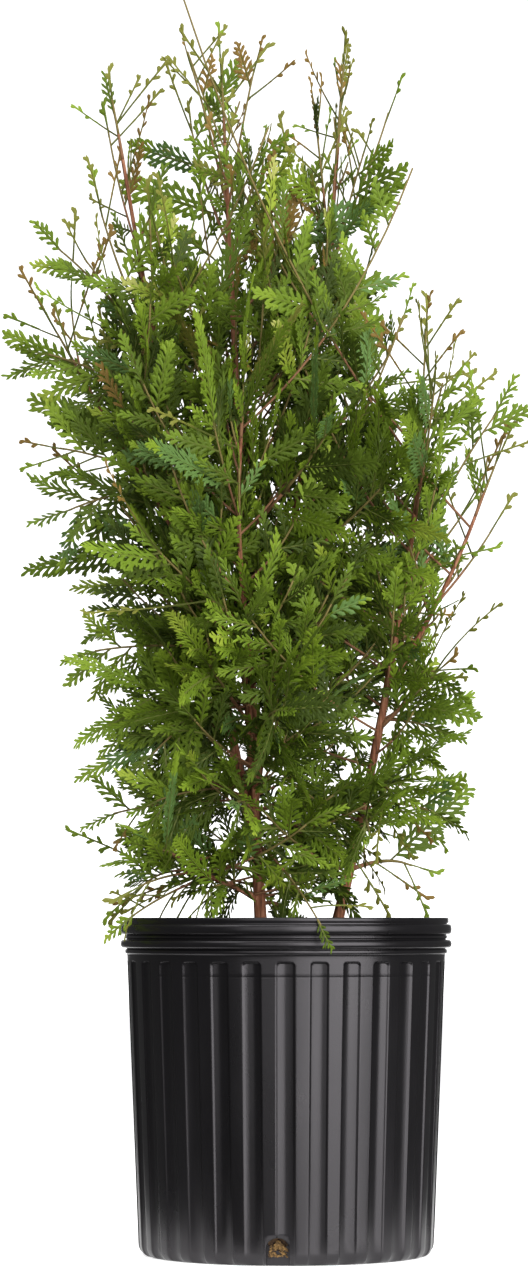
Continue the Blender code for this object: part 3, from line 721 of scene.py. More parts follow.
# Pot's plastic, in linear light
POT_BLACK = (0.005, 0.0047, 0.0053)
POT_MARKS = ((0.35, (0.0035, 0.0033, 0.0037)), (0.70, (0.0065, 0.0061, 0.0069)))
POT_STRETCH = (18.0, 18.0, 7.0)
POT_ROUGHNESS = (0.24, 0.34)


def linear(colour):
    """A display colour, 0 to 255, as linear light."""
    shares = [value / 255 for value in colour]
    return tuple(s / 12.92 if s < 0.04045 else ((s + 0.055) / 1.055) ** 2.4 for s in shares)


# Camera, light and floor


def make_camera():
    data = bpy.data.cameras.new("camera")
    data.lens = LENS
    data.clip_end = 50
    camera = bpy.data.objects.new("camera", data)
    bpy.context.scene.collection.objects.link(camera)
    camera.location = (CAMERA_SIDE, -CAMERA_DISTANCE, CAMERA_HEIGHT)
    aim = Vector((CAMERA_SIDE, 0.0, AIM_HEIGHT)) - camera.location
    camera.rotation_euler = aim.to_track_quat("-Z", "Y").to_euler()
    bpy.context.scene.camera = camera


def add_light(name, place, size, power):
    data = bpy.data.lights.new(name, "AREA")
    data.shape = "RECTANGLE"
    data.size, data.size_y = size
    data.energy = power
    lamp = bpy.data.objects.new(name, data)
    lamp.location = place
    lamp.rotation_euler = (LIGHT_AIM - Vector(place)).to_track_quat("-Z", "Y").to_euler()
    bpy.context.scene.collection.objects.link(lamp)


def white_surface(name, corners, glow):
    """A pale four-sided surface that glows a little."""
    mesh = bpy.data.meshes.new(name)
    mesh.from_pydata(corners, [], [(0, 1, 2, 3)])
    item = bpy.data.objects.new(name, mesh)
    bpy.context.scene.collection.objects.link(item)
    material = plain_material(name, (0.9, 0.9, 0.9), 0.9)
    shader = material.node_tree.nodes["Principled BSDF"]
    shader.inputs["Emission Color"].default_value = (1.0, 1.0, 1.0, 1.0)
    shader.inputs["Emission Strength"].default_value = glow
    mesh.materials.append(material)


def make_studio():
    """A softbox at the front right, soft lights above and at the left, a pale floor and a wall."""
    scene = bpy.context.scene
    scene.view_settings.view_transform = "Standard"
    world = bpy.data.worlds.new("studio")
    world.use_nodes = True
    sky = world.node_tree.nodes["Background"]
    sky.inputs["Color"].default_value = (1.0, 1.0, 1.0, 1.0)
    sky.inputs["Strength"].default_value = SKY_STRENGTH
    scene.world = world
    for light in LIGHTS:
        add_light(*light)
    left, right, far = -WALL_SIDE, WALL_SIDE, WALL_PLACE
    white_surface("floor", [(-FLOOR_SIDE, FLOOR_FRONT, 0), (FLOOR_SIDE, FLOOR_FRONT, 0),
                            (right, far, 0), (left, far, 0)], FLOOR_GLOW)
    white_surface("wall", [(left, far, WALL_FOOT), (right, far, WALL_FOOT),
                           (right, far, WALL_TOP), (left, far, WALL_TOP)], WALL_GLOW)


# Materials


def plain_material(name, colour, roughness):
    material = bpy.data.materials.new(name)
    material.use_nodes = True
    shader = material.node_tree.nodes["Principled BSDF"]
    shader.inputs["Base Color"].default_value = (*colour, 1.0)
    shader.inputs["Roughness"].default_value = roughness
    material.diffuse_color = (*colour, 1.0)
    return material


def add_node(tree, kind, **values):
    """A shader or geometry node with its inputs set by name."""
    node = tree.nodes.new(kind)
    for name, value in values.items():
        node.inputs[name.replace("_", " ")].default_value = value
    return node


def ramp(tree, factor, stops):
    node = tree.nodes.new("ShaderNodeValToRGB")
    points = node.color_ramp.elements
    while len(points) < len(stops):
        points.new(0.5)
    for point, (place, colour) in zip(points, stops):
        point.position = place
        point.color = (*colour, 1.0)
    tree.links.new(factor, node.inputs["Fac"])
    return node.outputs["Color"]


def noise(tree, stretch, **values):
    """A noise in object coordinates, scaled by three factors."""
    coords = tree.nodes.new("ShaderNodeTexCoord")
    mapping = tree.nodes.new("ShaderNodeMapping")
    mapping.inputs["Scale"].default_value = stretch
    tree.links.new(coords.outputs["Object"], mapping.inputs["Vector"])
    node = add_node(tree, "ShaderNodeTexNoise", **values)
    tree.links.new(mapping.outputs["Vector"], node.inputs["Vector"])
    return node.outputs["Fac"]


def bump(tree, height, strength, distance):
    node = add_node(tree, "ShaderNodeBump", Strength=strength, Distance=distance)
    tree.links.new(height, node.inputs["Height"])
    tree.links.new(node.outputs["Normal"], tree.nodes["Principled BSDF"].inputs["Normal"])


def bark_material():
    """Thin fibrous bark: long pale and red-brown streaks up the limb."""
    material = plain_material("bark", linear(BARK_COLOUR), 0.85)
    tree = material.node_tree
    streak = noise(tree, BARK_STRETCH, Scale=1.0, Detail=6.0, Roughness=0.62)
    colour = ramp(tree, streak, [(place, linear(shade)) for place, shade in BARK_STREAKS])
    tree.links.new(colour, tree.nodes["Principled BSDF"].inputs["Base Color"])
    bump(tree, streak, 0.5, 0.0006)
    return material


def pot_material():
    """Satin black plastic with faint flow marks."""
    material = plain_material("pot_black", POT_BLACK, 0.30)
    tree = material.node_tree
    shader = tree.nodes["Principled BSDF"]
    shader.inputs["Specular Tint"].default_value = (1.0, 0.95, 1.0, 1.0)
    marks = noise(tree, POT_STRETCH, Scale=1.0, Detail=4.0, Roughness=0.55)
    tree.links.new(ramp(tree, marks, POT_MARKS), shader.inputs["Base Color"])
    least, most = POT_ROUGHNESS
    spread = add_node(tree, "ShaderNodeMapRange", From_Min=0.3, From_Max=0.7, To_Min=least, To_Max=most)
    tree.links.new(marks, spread.inputs["Value"])
    tree.links.new(spread.outputs["Result"], shader.inputs["Roughness"])
    bump(tree, noise(tree, (1.0, 1.0, 1.0), Scale=900.0, Detail=2.0), 0.12, 0.0003)
    return material


def mix_material(name, dark, light, scale):
    """Damp bark mix: dark crumbs with paler fibres."""
    material = plain_material(name, linear(dark), 0.9)
    tree = material.node_tree
    crumbs = noise(tree, (1.0, 1.0, 1.0), Scale=scale, Detail=6.0, Roughness=0.7)
    colour = ramp(tree, crumbs, ((0.38, linear(dark)), (0.66, linear(light))))
    tree.links.new(colour, tree.nodes["Principled BSDF"].inputs["Base Color"])
    bump(tree, crumbs, 0.7, 0.0012)
    return material


# Mesh making from arrays


def mesh_from_arrays(name, verts, triangles, material, smooth=False):
    mesh = bpy.data.meshes.new(name)
    mesh.vertices.add(len(verts))
    mesh.vertices.foreach_set("co", np.asarray(verts, np.float32).ravel())
    mesh.loops.add(3 * len(triangles))
    mesh.loops.foreach_set("vertex_index", np.asarray(triangles, np.int32).ravel())
    mesh.polygons.add(len(triangles))
    mesh.polygons.foreach_set("loop_start", np.arange(0, 3 * len(triangles), 3, dtype=np.int32))
    mesh.polygons.foreach_set("use_smooth", np.full(len(triangles), smooth))
    mesh.update(calc_edges=True)
    mesh.validate()
    mesh.materials.append(material)
    item = bpy.data.objects.new(name, mesh)
    bpy.context.scene.collection.objects.link(item)
    return item


def tube_arrays(points, radii, sides, relief=None):
    """A closed tube along points. relief gives a share added to the radius by angle and length."""
    points = np.asarray(points, float)
    ahead = np.gradient(points, axis=0)
    ahead /= np.linalg.norm(ahead, axis=1)[:, None]
    start = np.cross(ahead[0], (0.31, 0.95, 0.0))
    across = np.empty_like(points)
    held = start / np.linalg.norm(start)
    for i, direction in enumerate(ahead):
        held = held - direction * held.dot(direction)
        held /= np.linalg.norm(held)
        across[i] = held
    up = np.cross(ahead, across)
    angles = np.arange(sides) * math.tau / sides
    radii = np.asarray(radii, float)[:, None] * np.ones(sides)
    if relief is not None:
        radii = radii * (1 + relief)
    ring = across[:, None] * np.cos(angles)[None, :, None] + up[:, None] * np.sin(angles)[None, :, None]
    verts = (points[:, None] + ring * radii[:, :, None]).reshape(-1, 3)
    count = len(points)
    i, k = np.meshgrid(np.arange(count - 1), np.arange(sides), indexing="ij")
    a, b = i * sides + k, i * sides + (k + 1) % sides
    faces = np.concatenate([np.stack([a, b, b + sides], -1).reshape(-1, 3),
                            np.stack([a, b + sides, a + sides], -1).reshape(-1, 3)])
    fan = np.arange(1, sides - 1)
    last = (count - 1) * sides
    caps = np.concatenate([np.stack([fan * 0, fan + 1, fan], -1),
                           np.stack([fan * 0 + last, fan + last, fan + 1 + last], -1)])
    return verts, np.concatenate([faces, caps])


def join_arrays(parts):
    """Several (verts, faces) pairs as one."""
    verts, faces, shift = [], [], 0
    for some, corners in parts:
        verts.append(some)
        faces.append(corners + shift)
        shift += len(some)
    return np.concatenate(verts), np.concatenate(faces)


# Fine growth: one frond is a flat spray


HEEL_WIDTH, SHOULDER, RIDGE = 0.36, 0.74, 0.55
FINGER_SPLAY, FINGER_CURL, FINGER_OVERLAP, FINGER_TILT = 1.08, 0.16, 1.3, 0.25
FINGER_SCATTER = (0.68, 1.22)
FINGER_CLOSING = 0.28
SLENDER_ANGLES, BROAD_ANGLES = (27, 37), (40, 50)
LOBE_FREE_END, FIRST_LOBE = 0.0020, 0.85
LOBE_LEAST, LOBE_GROWTH, LOBE_MOST = 0.0034, 0.40, 0.0085
LOBE_SCATTER, LOBE_LEAN = (0.8, 1.2), (26, 38)
LOBE_SHARE, LOBE_TILT = 0.85, 0.3
# Where fingers start along a frond, how far apart and how long they are, as shares
LEAFY_STALK, BARE_STALK = (0.06, 1.0, 1.0), (0.55, 2.0, 0.45)
AXIS_START, AXIS_LEAD, AXIS_END, AXIS_OVERLAP = 0.12, 0.2, 0.99, 1.25
AXIS_WIDTH, STALK_WIDTH = 0.85, 0.6
TWIG_LINE, TWIG_LINE_POINTS, TWIG_LINE_RADII = 0.8, 5, (0.0009, 0.0005)
ARCH_PULL = 0.35
LOBE_CORNERS = 7
LOBE_FACES = np.array([((i + 1) % 5, i, 5) for i in range(5)] + [(i, (i + 1) % 5, 6) for i in range(5)])
Frond = namedtuple("Frond", "verts share length")


def lobe_corners(start, angle, length, width, tilt):
    """A blunt finger: narrow heel, broad shoulders and a short end, with a ridge on both faces."""
    ahead = np.array((math.cos(angle), math.sin(angle), 0.0))
    side = np.array((-ahead[1], ahead[0], tilt)) * width
    rise = np.array((0.0, 0.0, LOBE_THICKNESS / 2))
    heel = np.array((start[0], start[1], 0.0))
    broad = heel + ahead * length * SHOULDER
    middle = heel + ahead * length * RIDGE
    return (heel + side * HEEL_WIDTH, heel - side * HEEL_WIDTH, broad - side / 2, heel + ahead * length,
            broad + side / 2, middle + rise, middle - rise)


def side_in_turn(number):
    return 1 if number % 2 else -1


def grow_branchlet(corners, start, angle, reach, width, rng):
    """A blunt finger that curves forward, with one or two small lobes on a long one."""
    steps = max(1, round(reach / CHAIN_STEP))
    step = reach / steps
    x, y = start
    heading = angle * FINGER_SPLAY
    for _ in range(steps):
        tilt = rng.uniform(-FINGER_TILT, FINGER_TILT)
        corners += lobe_corners((x, y), heading, step * FINGER_OVERLAP, width, tilt)
        x, y = x + math.cos(heading) * step, y + math.sin(heading) * step
        heading -= FINGER_CURL * angle
    for i in range(int((reach - LOBE_FREE_END) / LOBE_SPACING)):
        along = (i + FIRST_LOBE) * LOBE_SPACING
        size = min(LOBE_MOST, LOBE_LEAST + LOBE_GROWTH * (reach - along)) * rng.uniform(*LOBE_SCATTER)
        lean = angle + side_in_turn(i) * math.radians(rng.uniform(*LOBE_LEAN))
        heel = (start[0] + math.cos(angle) * along, start[1] + math.sin(angle) * along)
        tilt = rng.uniform(-LOBE_TILT, LOBE_TILT)
        corners += lobe_corners(heel, lean, size, width * LOBE_SHARE, tilt)


def grow_frond(length, rng, slender, bare):
    """A flat frond along +X: fingers leave both sides of its axis in turn and shorten to the tip.
    A slender one has narrow fingers that lean well forward; a bare one is a stalk with a few
    short fingers near its end."""
    corners = []
    lobe_width = SLENDER_WIDTH if slender else LOBE_WIDTH
    low, high = SLENDER_ANGLES if slender else BROAD_ANGLES
    first, spacing, size = BARE_STALK if bare else LEAFY_STALK
    count = round(length * (1 - first) / BRANCHLET_SPACING / spacing)
    most = min(FINGER_MOST, length * FINGER_SHARE)
    for i in range(count):
        share = first + (1 - first) * (i + 0.5) / count
        reach = max(FINGER_LEAST, most * table_value(FINGER_SHAPE, share) * size)
        reach *= rng.uniform(*FINGER_SCATTER)
        angle = side_in_turn(i) * math.radians(rng.uniform(low, high) - FINGER_CLOSING * high * share)
        grow_branchlet(corners, (share * length, 0.0), angle, reach, lobe_width, rng)
    start = max(AXIS_START, first - AXIS_LEAD)
    steps = max(2, round(length * (AXIS_END - start) / CHAIN_STEP))
    step = length * (AXIS_END - start) / steps
    for i in range(steps):
        width = lobe_width * (STALK_WIDTH if bare and i < steps - 1 else AXIS_WIDTH)
        corners += lobe_corners((length * start + i * step, 0.0), 0.0, step * AXIS_OVERLAP, width, 0.0)
    verts = np.array(corners)
    return Frond(verts, verts[0::LOBE_CORNERS, 0] / length, length)


def make_frond_stock():
    """A few kinds of frond at each length, the bare ones last, to be scaled a little and bent."""
    stock = []
    for i, length in enumerate(FROND_LENGTHS):
        for kind in range(STOCK_KINDS):
            slender, bare = BROAD_KINDS <= kind < FROND_KINDS, kind >= FROND_KINDS
            stock.append(grow_frond(length, random.Random(STOCK_SEED + 31 * i + kind), slender, bare))
    return stock


# Seeds of the fronds in stock, masses, limbs, long twigs, sprays, bark, mix and chips
STOCK_SEED, MASS_SEED, LIMB_SEED, TWIG_SEED, LEAF_SEED = 1000, 5000, 7000, 8000, 9000
BARK_SEED, MIX_SEED, CHIP_SEED, DRAIN_SEED = 42, 77, 5, 61
Spray = namedtuple("Spray", "matrix length arch cup colour tip bare")


def moved(points, matrix):
    world = np.array(matrix)
    return points @ world[:3, :3].T + world[:3, 3]


def bent(points, spray):
    """Points of a flat frond, with its axis arched and its sides cupped, at the spray's place."""
    out = points.copy()
    out[:, 2] += spray.arch * points[:, 0] ** 2 / spray.length + spray.cup * points[:, 1] ** 2 / spray.length
    out[:, 0] -= ARCH_PULL * spray.arch ** 2 * points[:, 0] ** 2 / spray.length
    return moved(out, spray.matrix)


def spray_arrays(spray, stock, rng):
    """Leaf corners of one spray, where they are along it, and the axis points of its twig."""
    nearest = min(range(len(FROND_LENGTHS)), key=lambda i: abs(FROND_LENGTHS[i] - spray.length))
    kind = rng.randrange(BROAD_KINDS)
    if spray.bare:
        kind = FROND_KINDS + rng.randrange(BARE_KINDS)
    elif rng.random() < table_value(SLENDER_SHARE, spray.matrix.translation.z):
        kind = BROAD_KINDS + rng.randrange(SLENDER_KINDS)
    frond = stock[nearest * STOCK_KINDS + kind]
    scale = spray.length / frond.length
    line = np.zeros((TWIG_LINE_POINTS, 3))
    line[:, 0] = np.linspace(0.0, TWIG_LINE, TWIG_LINE_POINTS) * spray.length
    return bent(frond.verts * (scale, scale, 1.0), spray), frond.share, bent(line, spray)


# Where sprays stand


CROWN_TOP = 0.92
BAYS = ((3, 47, 0.0), (5, -83, 1.3))
SPRAY_SAMPLES = ((1.0, 0.0), (0.5, 0.22), (0.5, -0.22), (0.75, 0.0))
LOW_SPRAYS, LOW_ARCH, HIGH_ARCH, ARCH_SCATTER, CUP = 0.45, -0.16, 0.10, (0.3, 1.5), 0.5
FAN_ANGLE, END_ANGLE, FAN_ROLL = (32, 58), 8, 22
SHORTER_OUT = 0.25
# Extra fronds along a mass's stem
EXTRA_RUN, EXTRA_JITTER, EXTRA_LENGTH = (0.12, 0.86), (0.2, 0.8), (0.038, 0.070)
EXTRA_TRIES, EXTRA_SPREAD = (1.0, 0.8, 0.62), 65
END_PLACE, END_LENGTH, END_SPREAD = 0.93, (0.024, 0.040), 30
# Twigs all round a limb, and their fronds
TWIG_SHORT, TWIG_LOOK_UP, TWIG_LEAST, TWIG_SCATTER = 0.055, 0.03, 0.012, (0.2, 1.0)
TWIG_RISE, TWIG_CLIMB, TWIG_LIFT = 0.3, (1.4, 0.27, 0.35), (0.7, 1.3)
TWIG_FACING, TWIG_GIRTH, TWIG_LEAFY, FIRST_TWIG = (25, 155), 0.0012, 0.25, 0.02
TWIG_FROND, TWIG_TRIES, TWIG_SPREAD, TWIG_FILLED = (0.036, 0.064), (1.0, 0.75), 45, 0.8
# Long twigs and their fronds
LONG_BEND, LONG_LIFT, LONG_FACING, LONG_GIRTH = 0.55, 0.08, (60, 120), 0.0013
LONG_END, LONG_SPREAD, LONG_SCATTER = 0.96, 25, (0.85, 1.1)
LONG_LEAFY, LONG_CROWDED, LONG_SPARSE = 0.5, 1.2, 0.7
LONG_TAPER, LAST_SHARE = 0.6, 0.8


def spray_colour(place, rng):
    """A leaf colour for a spray: dark inside as painted shade, fresher outside, yellow and bronze towards
    the top.
    """
    reach = crown_reach(math.atan2(place.y, place.x), place.z)
    depth = math.hypot(place.x, place.y) / reach
    height = (place.z - SOIL_TOP) / (CROWN_TOP - SOIL_TOP)
    if height > rng.uniform(*UPPER_FROM):
        return rng.choice(UPPER_LEAVES)
    # Sprays well inside the crown get darker greens: painted shade
    if depth < rng.uniform(*PAINTED_SHADE_WITHIN):
        return rng.choice(INNER_PAINTED_SHADE_LEAVES)
    return rng.choice(OUTER_LEAVES)


def in_sky_gap(point):
    return any(((point.x - x) / wide) ** 2 + ((point.z - height) / high) ** 2 < 1
               for x, height, wide, high in SKY_GAPS)


def ragged(point):
    """Whether a point of the finer growth is within the outline, which comes and goes in bays."""
    azimuth = math.atan2(point.y, point.x)
    wave = math.prod(math.sin(turns * azimuth + rise * point.z + shift) for turns, rise, shift in BAYS)
    share = 1.0 - BAY_DEPTH * (0.5 + 0.5 * wave)
    return math.hypot(point.x, point.y) < crown_reach(azimuth, point.z) * share + REACH_SLACK


def add_spray(sprays, matrix, length, rng, own=False):
    """Keep a spray that stays within the crown, off the pot and out of the open sky. The solids' own
    sprays aren't held to the ragged outline, and in open sky they are bare stalks."""
    samples = [matrix @ Vector((length * along, length * across, 0.0)) for along, across in SPRAY_SAMPLES]
    if not own and not all(ragged(point) for point in samples):
        return False
    if not clear_of_pot(samples) or samples[0].z > HIGHEST_LEAF:
        return False
    open_sky = any(in_sky_gap(point) for point in samples)
    if open_sky and not own:
        return False
    root = matrix.translation
    fall = LOW_ARCH if root.z < LOW_SPRAYS else HIGH_ARCH
    arch = fall * (1 if matrix[2][2] > 0 else -1) * rng.uniform(*ARCH_SCATTER)
    colour = spray_colour(matrix @ Vector((length * 0.5, 0, 0)), rng)
    bare = open_sky or rng.random() < table_value(BARE_SHARE, root.z)
    if bare:
        colour = rng.choice(BARE_LEAVES)
    sprays.append(Spray(matrix, length, arch, rng.uniform(-CUP, CUP), colour, TIP_COLOURS[colour], bare))
    return True


def add_first_that_fits(sprays, mass, t, side, length, tries, spread, rng):
    """A spray at a place on a stem, tried again in another turn and shorter if it doesn't fit."""
    for shrink in tries:
        if add_spray(sprays, fan_matrix(mass, t, side, rng, spread), length * shrink, rng):
            return


def fan_matrix(mass, t, side, rng, spread):
    """Like the solids' blade place, with more freedom in its turn about the stem."""
    place, ahead, normal = arch_frame(mass, t)
    normal = Matrix.Rotation(math.radians(rng.uniform(-spread, spread)), 3, ahead) @ normal
    low, high = FAN_ANGLE if side else (-END_ANGLE, END_ANGLE)
    angle = math.radians(rng.uniform(low, high)) * (side or 1)
    forward = Matrix.Rotation(angle, 3, normal) @ ahead
    across = normal.cross(forward).normalized()
    roll = Matrix.Rotation(math.radians(rng.uniform(-FAN_ROLL, FAN_ROLL)), 3, forward)
    return flat_frame(place, forward, roll @ across)


def stem_length(mass):
    root, bend, tip = mass.path
    return (bend - root).length + (tip - bend).length


def fill_mass(sprays, mass, placed, rng):
    """The solids' own blades as fronds, with more fronds between them along the stem."""
    for outline, matrix in placed:
        add_spray(sprays, matrix, max(along for along, _ in outline), rng, own=True)
    height = mass.path[0].z
    count = max(1, round(stem_length(mass) / EXTRA_SPACING * table_value(DENSITY, height)))
    start, run = EXTRA_RUN
    for i in range(count):
        t = start + run * (i + rng.uniform(*EXTRA_JITTER)) / count
        length = rng.uniform(*EXTRA_LENGTH) * spray_size(height) * (1 - SHORTER_OUT * t)
        add_first_that_fits(sprays, mass, t, side_in_turn(i), length, EXTRA_TRIES, EXTRA_SPREAD, rng)
    tip = fan_matrix(mass, END_PLACE, 0, rng, END_SPREAD)
    add_spray(sprays, tip, rng.uniform(*END_LENGTH), rng, own=True)


def limb_twig(limb, t, azimuth, rng):
    """A short arching twig from a limb's side, as a mass with no solid of its own."""
    outward = level_direction(azimuth)
    root = limb_point(limb, t)
    reach = crown_reach(azimuth, root.z + TWIG_LOOK_UP) - Vector((root.x, root.y, 0)).dot(outward)
    span = (reach - TWIG_SHORT) * rng.uniform(*TWIG_SCATTER) * table_value(TWIG_REACH, root.z)
    run = max(TWIG_LEAST, span)
    climb, low, height = TWIG_CLIMB
    slope = TWIG_RISE + climb * min(1.0, max(0.0, (root.z - low) / height))
    rise = run * slope * rng.uniform(*TWIG_LIFT)
    bend = root + outward * run * BEND_OUT + Vector((0, 0, rise * BEND_UP))
    tip = root + outward * run + Vector((0, 0, rise))
    return Mass("twig", limb, (root, bend, tip), rng.uniform(*TWIG_FACING), False, TWIG_GIRTH)


def fill_limb(sprays, stems, limb, rng):
    """Twigs all round a limb, each with fronds along its outer part."""
    length = (limb_point(limb, 1.0) - limb_point(limb, 0.0)).length
    t, turn = FIRST_TWIG, math.radians(limb.azimuth)
    while t < 1.0:
        height = limb_point(limb, t).z
        t += TWIG_SPACING / table_value(DENSITY, height) / length
        turn += math.radians(GOLDEN_TURN)
        if height < LOWEST_TWIG:
            continue
        mass = limb_twig(limb, t, turn, rng)
        count = max(2, round(stem_length(mass) * TWIG_FILLED / TWIG_FROND_SPACING))
        before = len(sprays)
        for k in range(count + 1):
            share = TWIG_LEAFY + (1 - TWIG_LEAFY) * k / count
            side = 0 if k == count else side_in_turn(k)
            frond = rng.uniform(*TWIG_FROND) * spray_size(height) * (1 - SHORTER_OUT * share)
            add_first_that_fits(sprays, mass, share, side, frond, TWIG_TRIES, TWIG_SPREAD, rng)
        if len(sprays) > before:
            stems.append(mass)


def long_twig(sprays, limb, height, tip, start, rng):
    """One long arching twig from a limb to a tip, with fronds on its outer part."""
    base, top = limb_point(limb, 0.0), limb_point(limb, 1.0)
    root = limb_point(limb, (height - base.z) / (top.z - base.z))
    tip = Vector(tip) - (Vector(tip) - root).normalized() * LAST_FROND * LAST_SHARE
    bend = root.lerp(tip, LONG_BEND) + Vector((0.0, 0.0, LONG_LIFT * (tip - root).length))
    mass = Mass("twig", limb, (root, bend, tip), rng.uniform(*LONG_FACING), False, LONG_GIRTH)
    crowding = LONG_CROWDED if start < LONG_LEAFY else LONG_SPARSE
    count = max(2, round(stem_length(mass) * (1 - start) / TWIG_FROND_SPACING * crowding))
    for k in range(count + 1):
        share = start + (LONG_END - start) * k / count
        side = 0 if k == count else side_in_turn(k)
        frond = LAST_FROND * (1 + LONG_TAPER * (1 - share)) * rng.uniform(*LONG_SCATTER)
        frond *= 1.0 if side else LAST_SHARE
        add_spray(sprays, fan_matrix(mass, share, side, rng, LONG_SPREAD), frond, rng, own=True)
    return mass


def plan_growth():
    """Sprays and bare stems of the whole crown."""
    limb_trees = {limb.name: mesh_tree(limb_tube(limb, GAP)) for limb in LIMBS}
    sprays, stems = [], []
    for number, (mass, placed) in enumerate(plan_crown(limb_trees)):
        fill_mass(sprays, mass, placed, random.Random(MASS_SEED + number))
        stems.append(mass)
    for number, limb in enumerate(LIMBS):
        fill_limb(sprays, stems, limb, random.Random(LIMB_SEED + number))
    for number, (name, *place) in enumerate(LONG_TWIGS):
        stems.append(long_twig(sprays, limb_named(name), *place, random.Random(TWIG_SEED + number)))
    return sprays, stems


# The plant's pieces


def finish_piece(item, nodes=()):
    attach(item, "root")
    if nodes:
        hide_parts(*nodes)


MOST_LOBES = 19000
STEM_SHARE, STEM_TIP, STEM_POINTS, STEM_SIDES = 0.8, 0.0007, 7, 6
# Fissures: how many round the limb, their pitch along it and their depth as a share
FISSURES = ((3, 0.055, 0.05), (5, 0.034, 0.05), (8, 0.021, 0.04), (7, 0.012, 0.03))
FISSURE_DRIFT = 0.8


def deal_leaves(sprays):
    """The lobes of every spray by colour, its tips in a lighter one, and the axes' tubes."""
    stock = make_frond_stock()
    leaves = {name: [] for name in LEAF_COLOURS}
    axes = []
    for number, spray in enumerate(sprays):
        rng = random.Random(LEAF_SEED + number)
        verts, share, axis = spray_arrays(spray, stock, rng)
        lobes = verts.reshape(-1, LOBE_CORNERS, 3)
        outer = share > rng.uniform(*TIP_FROM)
        leaves[spray.colour].append(lobes[~outer])
        leaves[spray.tip].append(lobes[outer])
        axes.append(tube_arrays(axis, np.linspace(*TWIG_LINE_RADII, TWIG_LINE_POINTS), 3))
    return leaves, axes


def make_leaf_pieces(name, groups, foliage_nodes):
    """The lobes of one colour, in pieces small enough to handle."""
    lobes = np.concatenate(groups)
    material = plain_material("leaf_" + name, linear(LEAF_COLOURS[name]), LEAF_ROUGHNESS)
    material.node_tree.nodes["Principled BSDF"].inputs["Specular IOR Level"].default_value = LEAF_SHINE
    for part in range(0, len(lobes), MOST_LOBES):
        some = lobes[part:part + MOST_LOBES]
        shifts = LOBE_CORNERS * np.arange(len(some))[:, None, None]
        faces = (LOBE_FACES[None] + shifts).reshape(-1, 3)
        title = f"leaves_{name}_{part // MOST_LOBES + 1}"
        item = mesh_from_arrays(title, some.reshape(-1, 3), faces, material)
        finish_piece(item, foliage_nodes if name == "mid" and part == 0 else ())


def make_side_stems(stems):
    """The stems of masses and twigs: brown near the limb and green beyond."""
    for name, slot, colour, start, end in STEM_PARTS:
        tubes = []
        for mass in stems:
            shares = np.linspace(start, end, STEM_POINTS)
            points = [arch_point(mass.path, t) for t in shares]
            radii = mass.girth * STEM_SHARE + (STEM_TIP - mass.girth * STEM_SHARE) * shares
            tubes.append(tube_arrays(points, radii, STEM_SIDES))
        item = mesh_from_arrays(name, *join_arrays(tubes), plain_material(name, linear(colour), 0.8), True)
        finish_piece(item)


def make_foliage(foliage_nodes):
    sprays, stems = plan_growth()
    leaves, axes = deal_leaves(sprays)
    for name, groups in leaves.items():
        if groups:
            make_leaf_pieces(name, groups, foliage_nodes)
    green = plain_material("axis_green", linear(TWIG_COLOUR), 0.7)
    finish_piece(mesh_from_arrays("spray_axes", *join_arrays(axes), green))
    make_side_stems(stems)


def bark_relief(count, sides, rng):
    """Long shallow fissures that wander up a limb, as shares of its radius."""
    climb = np.arange(count)[:, None] * LIMB_RING
    angle = np.arange(sides)[None, :] * math.tau / sides
    relief = np.zeros((count, sides))
    for waves, pitch, depth in FISSURES:
        drift = rng.uniform(0, math.tau) + FISSURE_DRIFT * np.sin(climb / pitch + rng.uniform(0, math.tau))
        relief += depth * np.sin(waves * angle + drift)
    return relief


def make_limb_piece(limb, material, rng):
    length = (limb_point(limb, 1.0) - limb_point(limb, 0.0)).length
    count = max(8, round(length / LIMB_RING))
    shares = np.linspace(0.0, 1.0, count)
    points = [limb_point(limb, t) for t in shares]
    radii = [limb_radius(limb, t) for t in shares]
    verts, faces = tube_arrays(points, radii, LIMB_SIDES, bark_relief(count, LIMB_SIDES, rng))
    item = mesh_from_arrays(limb.name + "_bark", verts, faces, material, True)
    finish_piece(item, (limb.name,))


# Pot and mix


# Rounded rings of the rim: drops of the two edges, radius, radius at the edges, steps
RIM_RINGS = (
    (0.0046, 0.0122, RING_RADIUS, NECK_RADIUS + 0.0006, 10),
    (0.0127, 0.0152, NECK_RADIUS + 0.0008, NECK_RADIUS - 0.0002, 6),
    (0.0160, 0.0221, RING_RADIUS, NECK_RADIUS, 10),
    (0.0228, 0.0262, NECK_RADIUS + 0.0008, BODY_TOP_RADIUS + 0.0002, 6),
)
RING_FULLNESS = 0.45
# The lip's two edges, as a radius and a drop below the top
LIP_OUTSIDE = ((LIP_RADIUS - 0.0010, 0.0), (LIP_RADIUS - 0.0003, 0.0002), (LIP_RADIUS, 0.0008),
               (LIP_RADIUS, 0.0034))
LIP_INSIDE = ((LIP_RADIUS - 0.0016, 0.0), (MOUTH_RADIUS + 0.0006, 0.0), (MOUTH_RADIUS, 0.0008),
              (MOUTH_RADIUS, 0.0215))
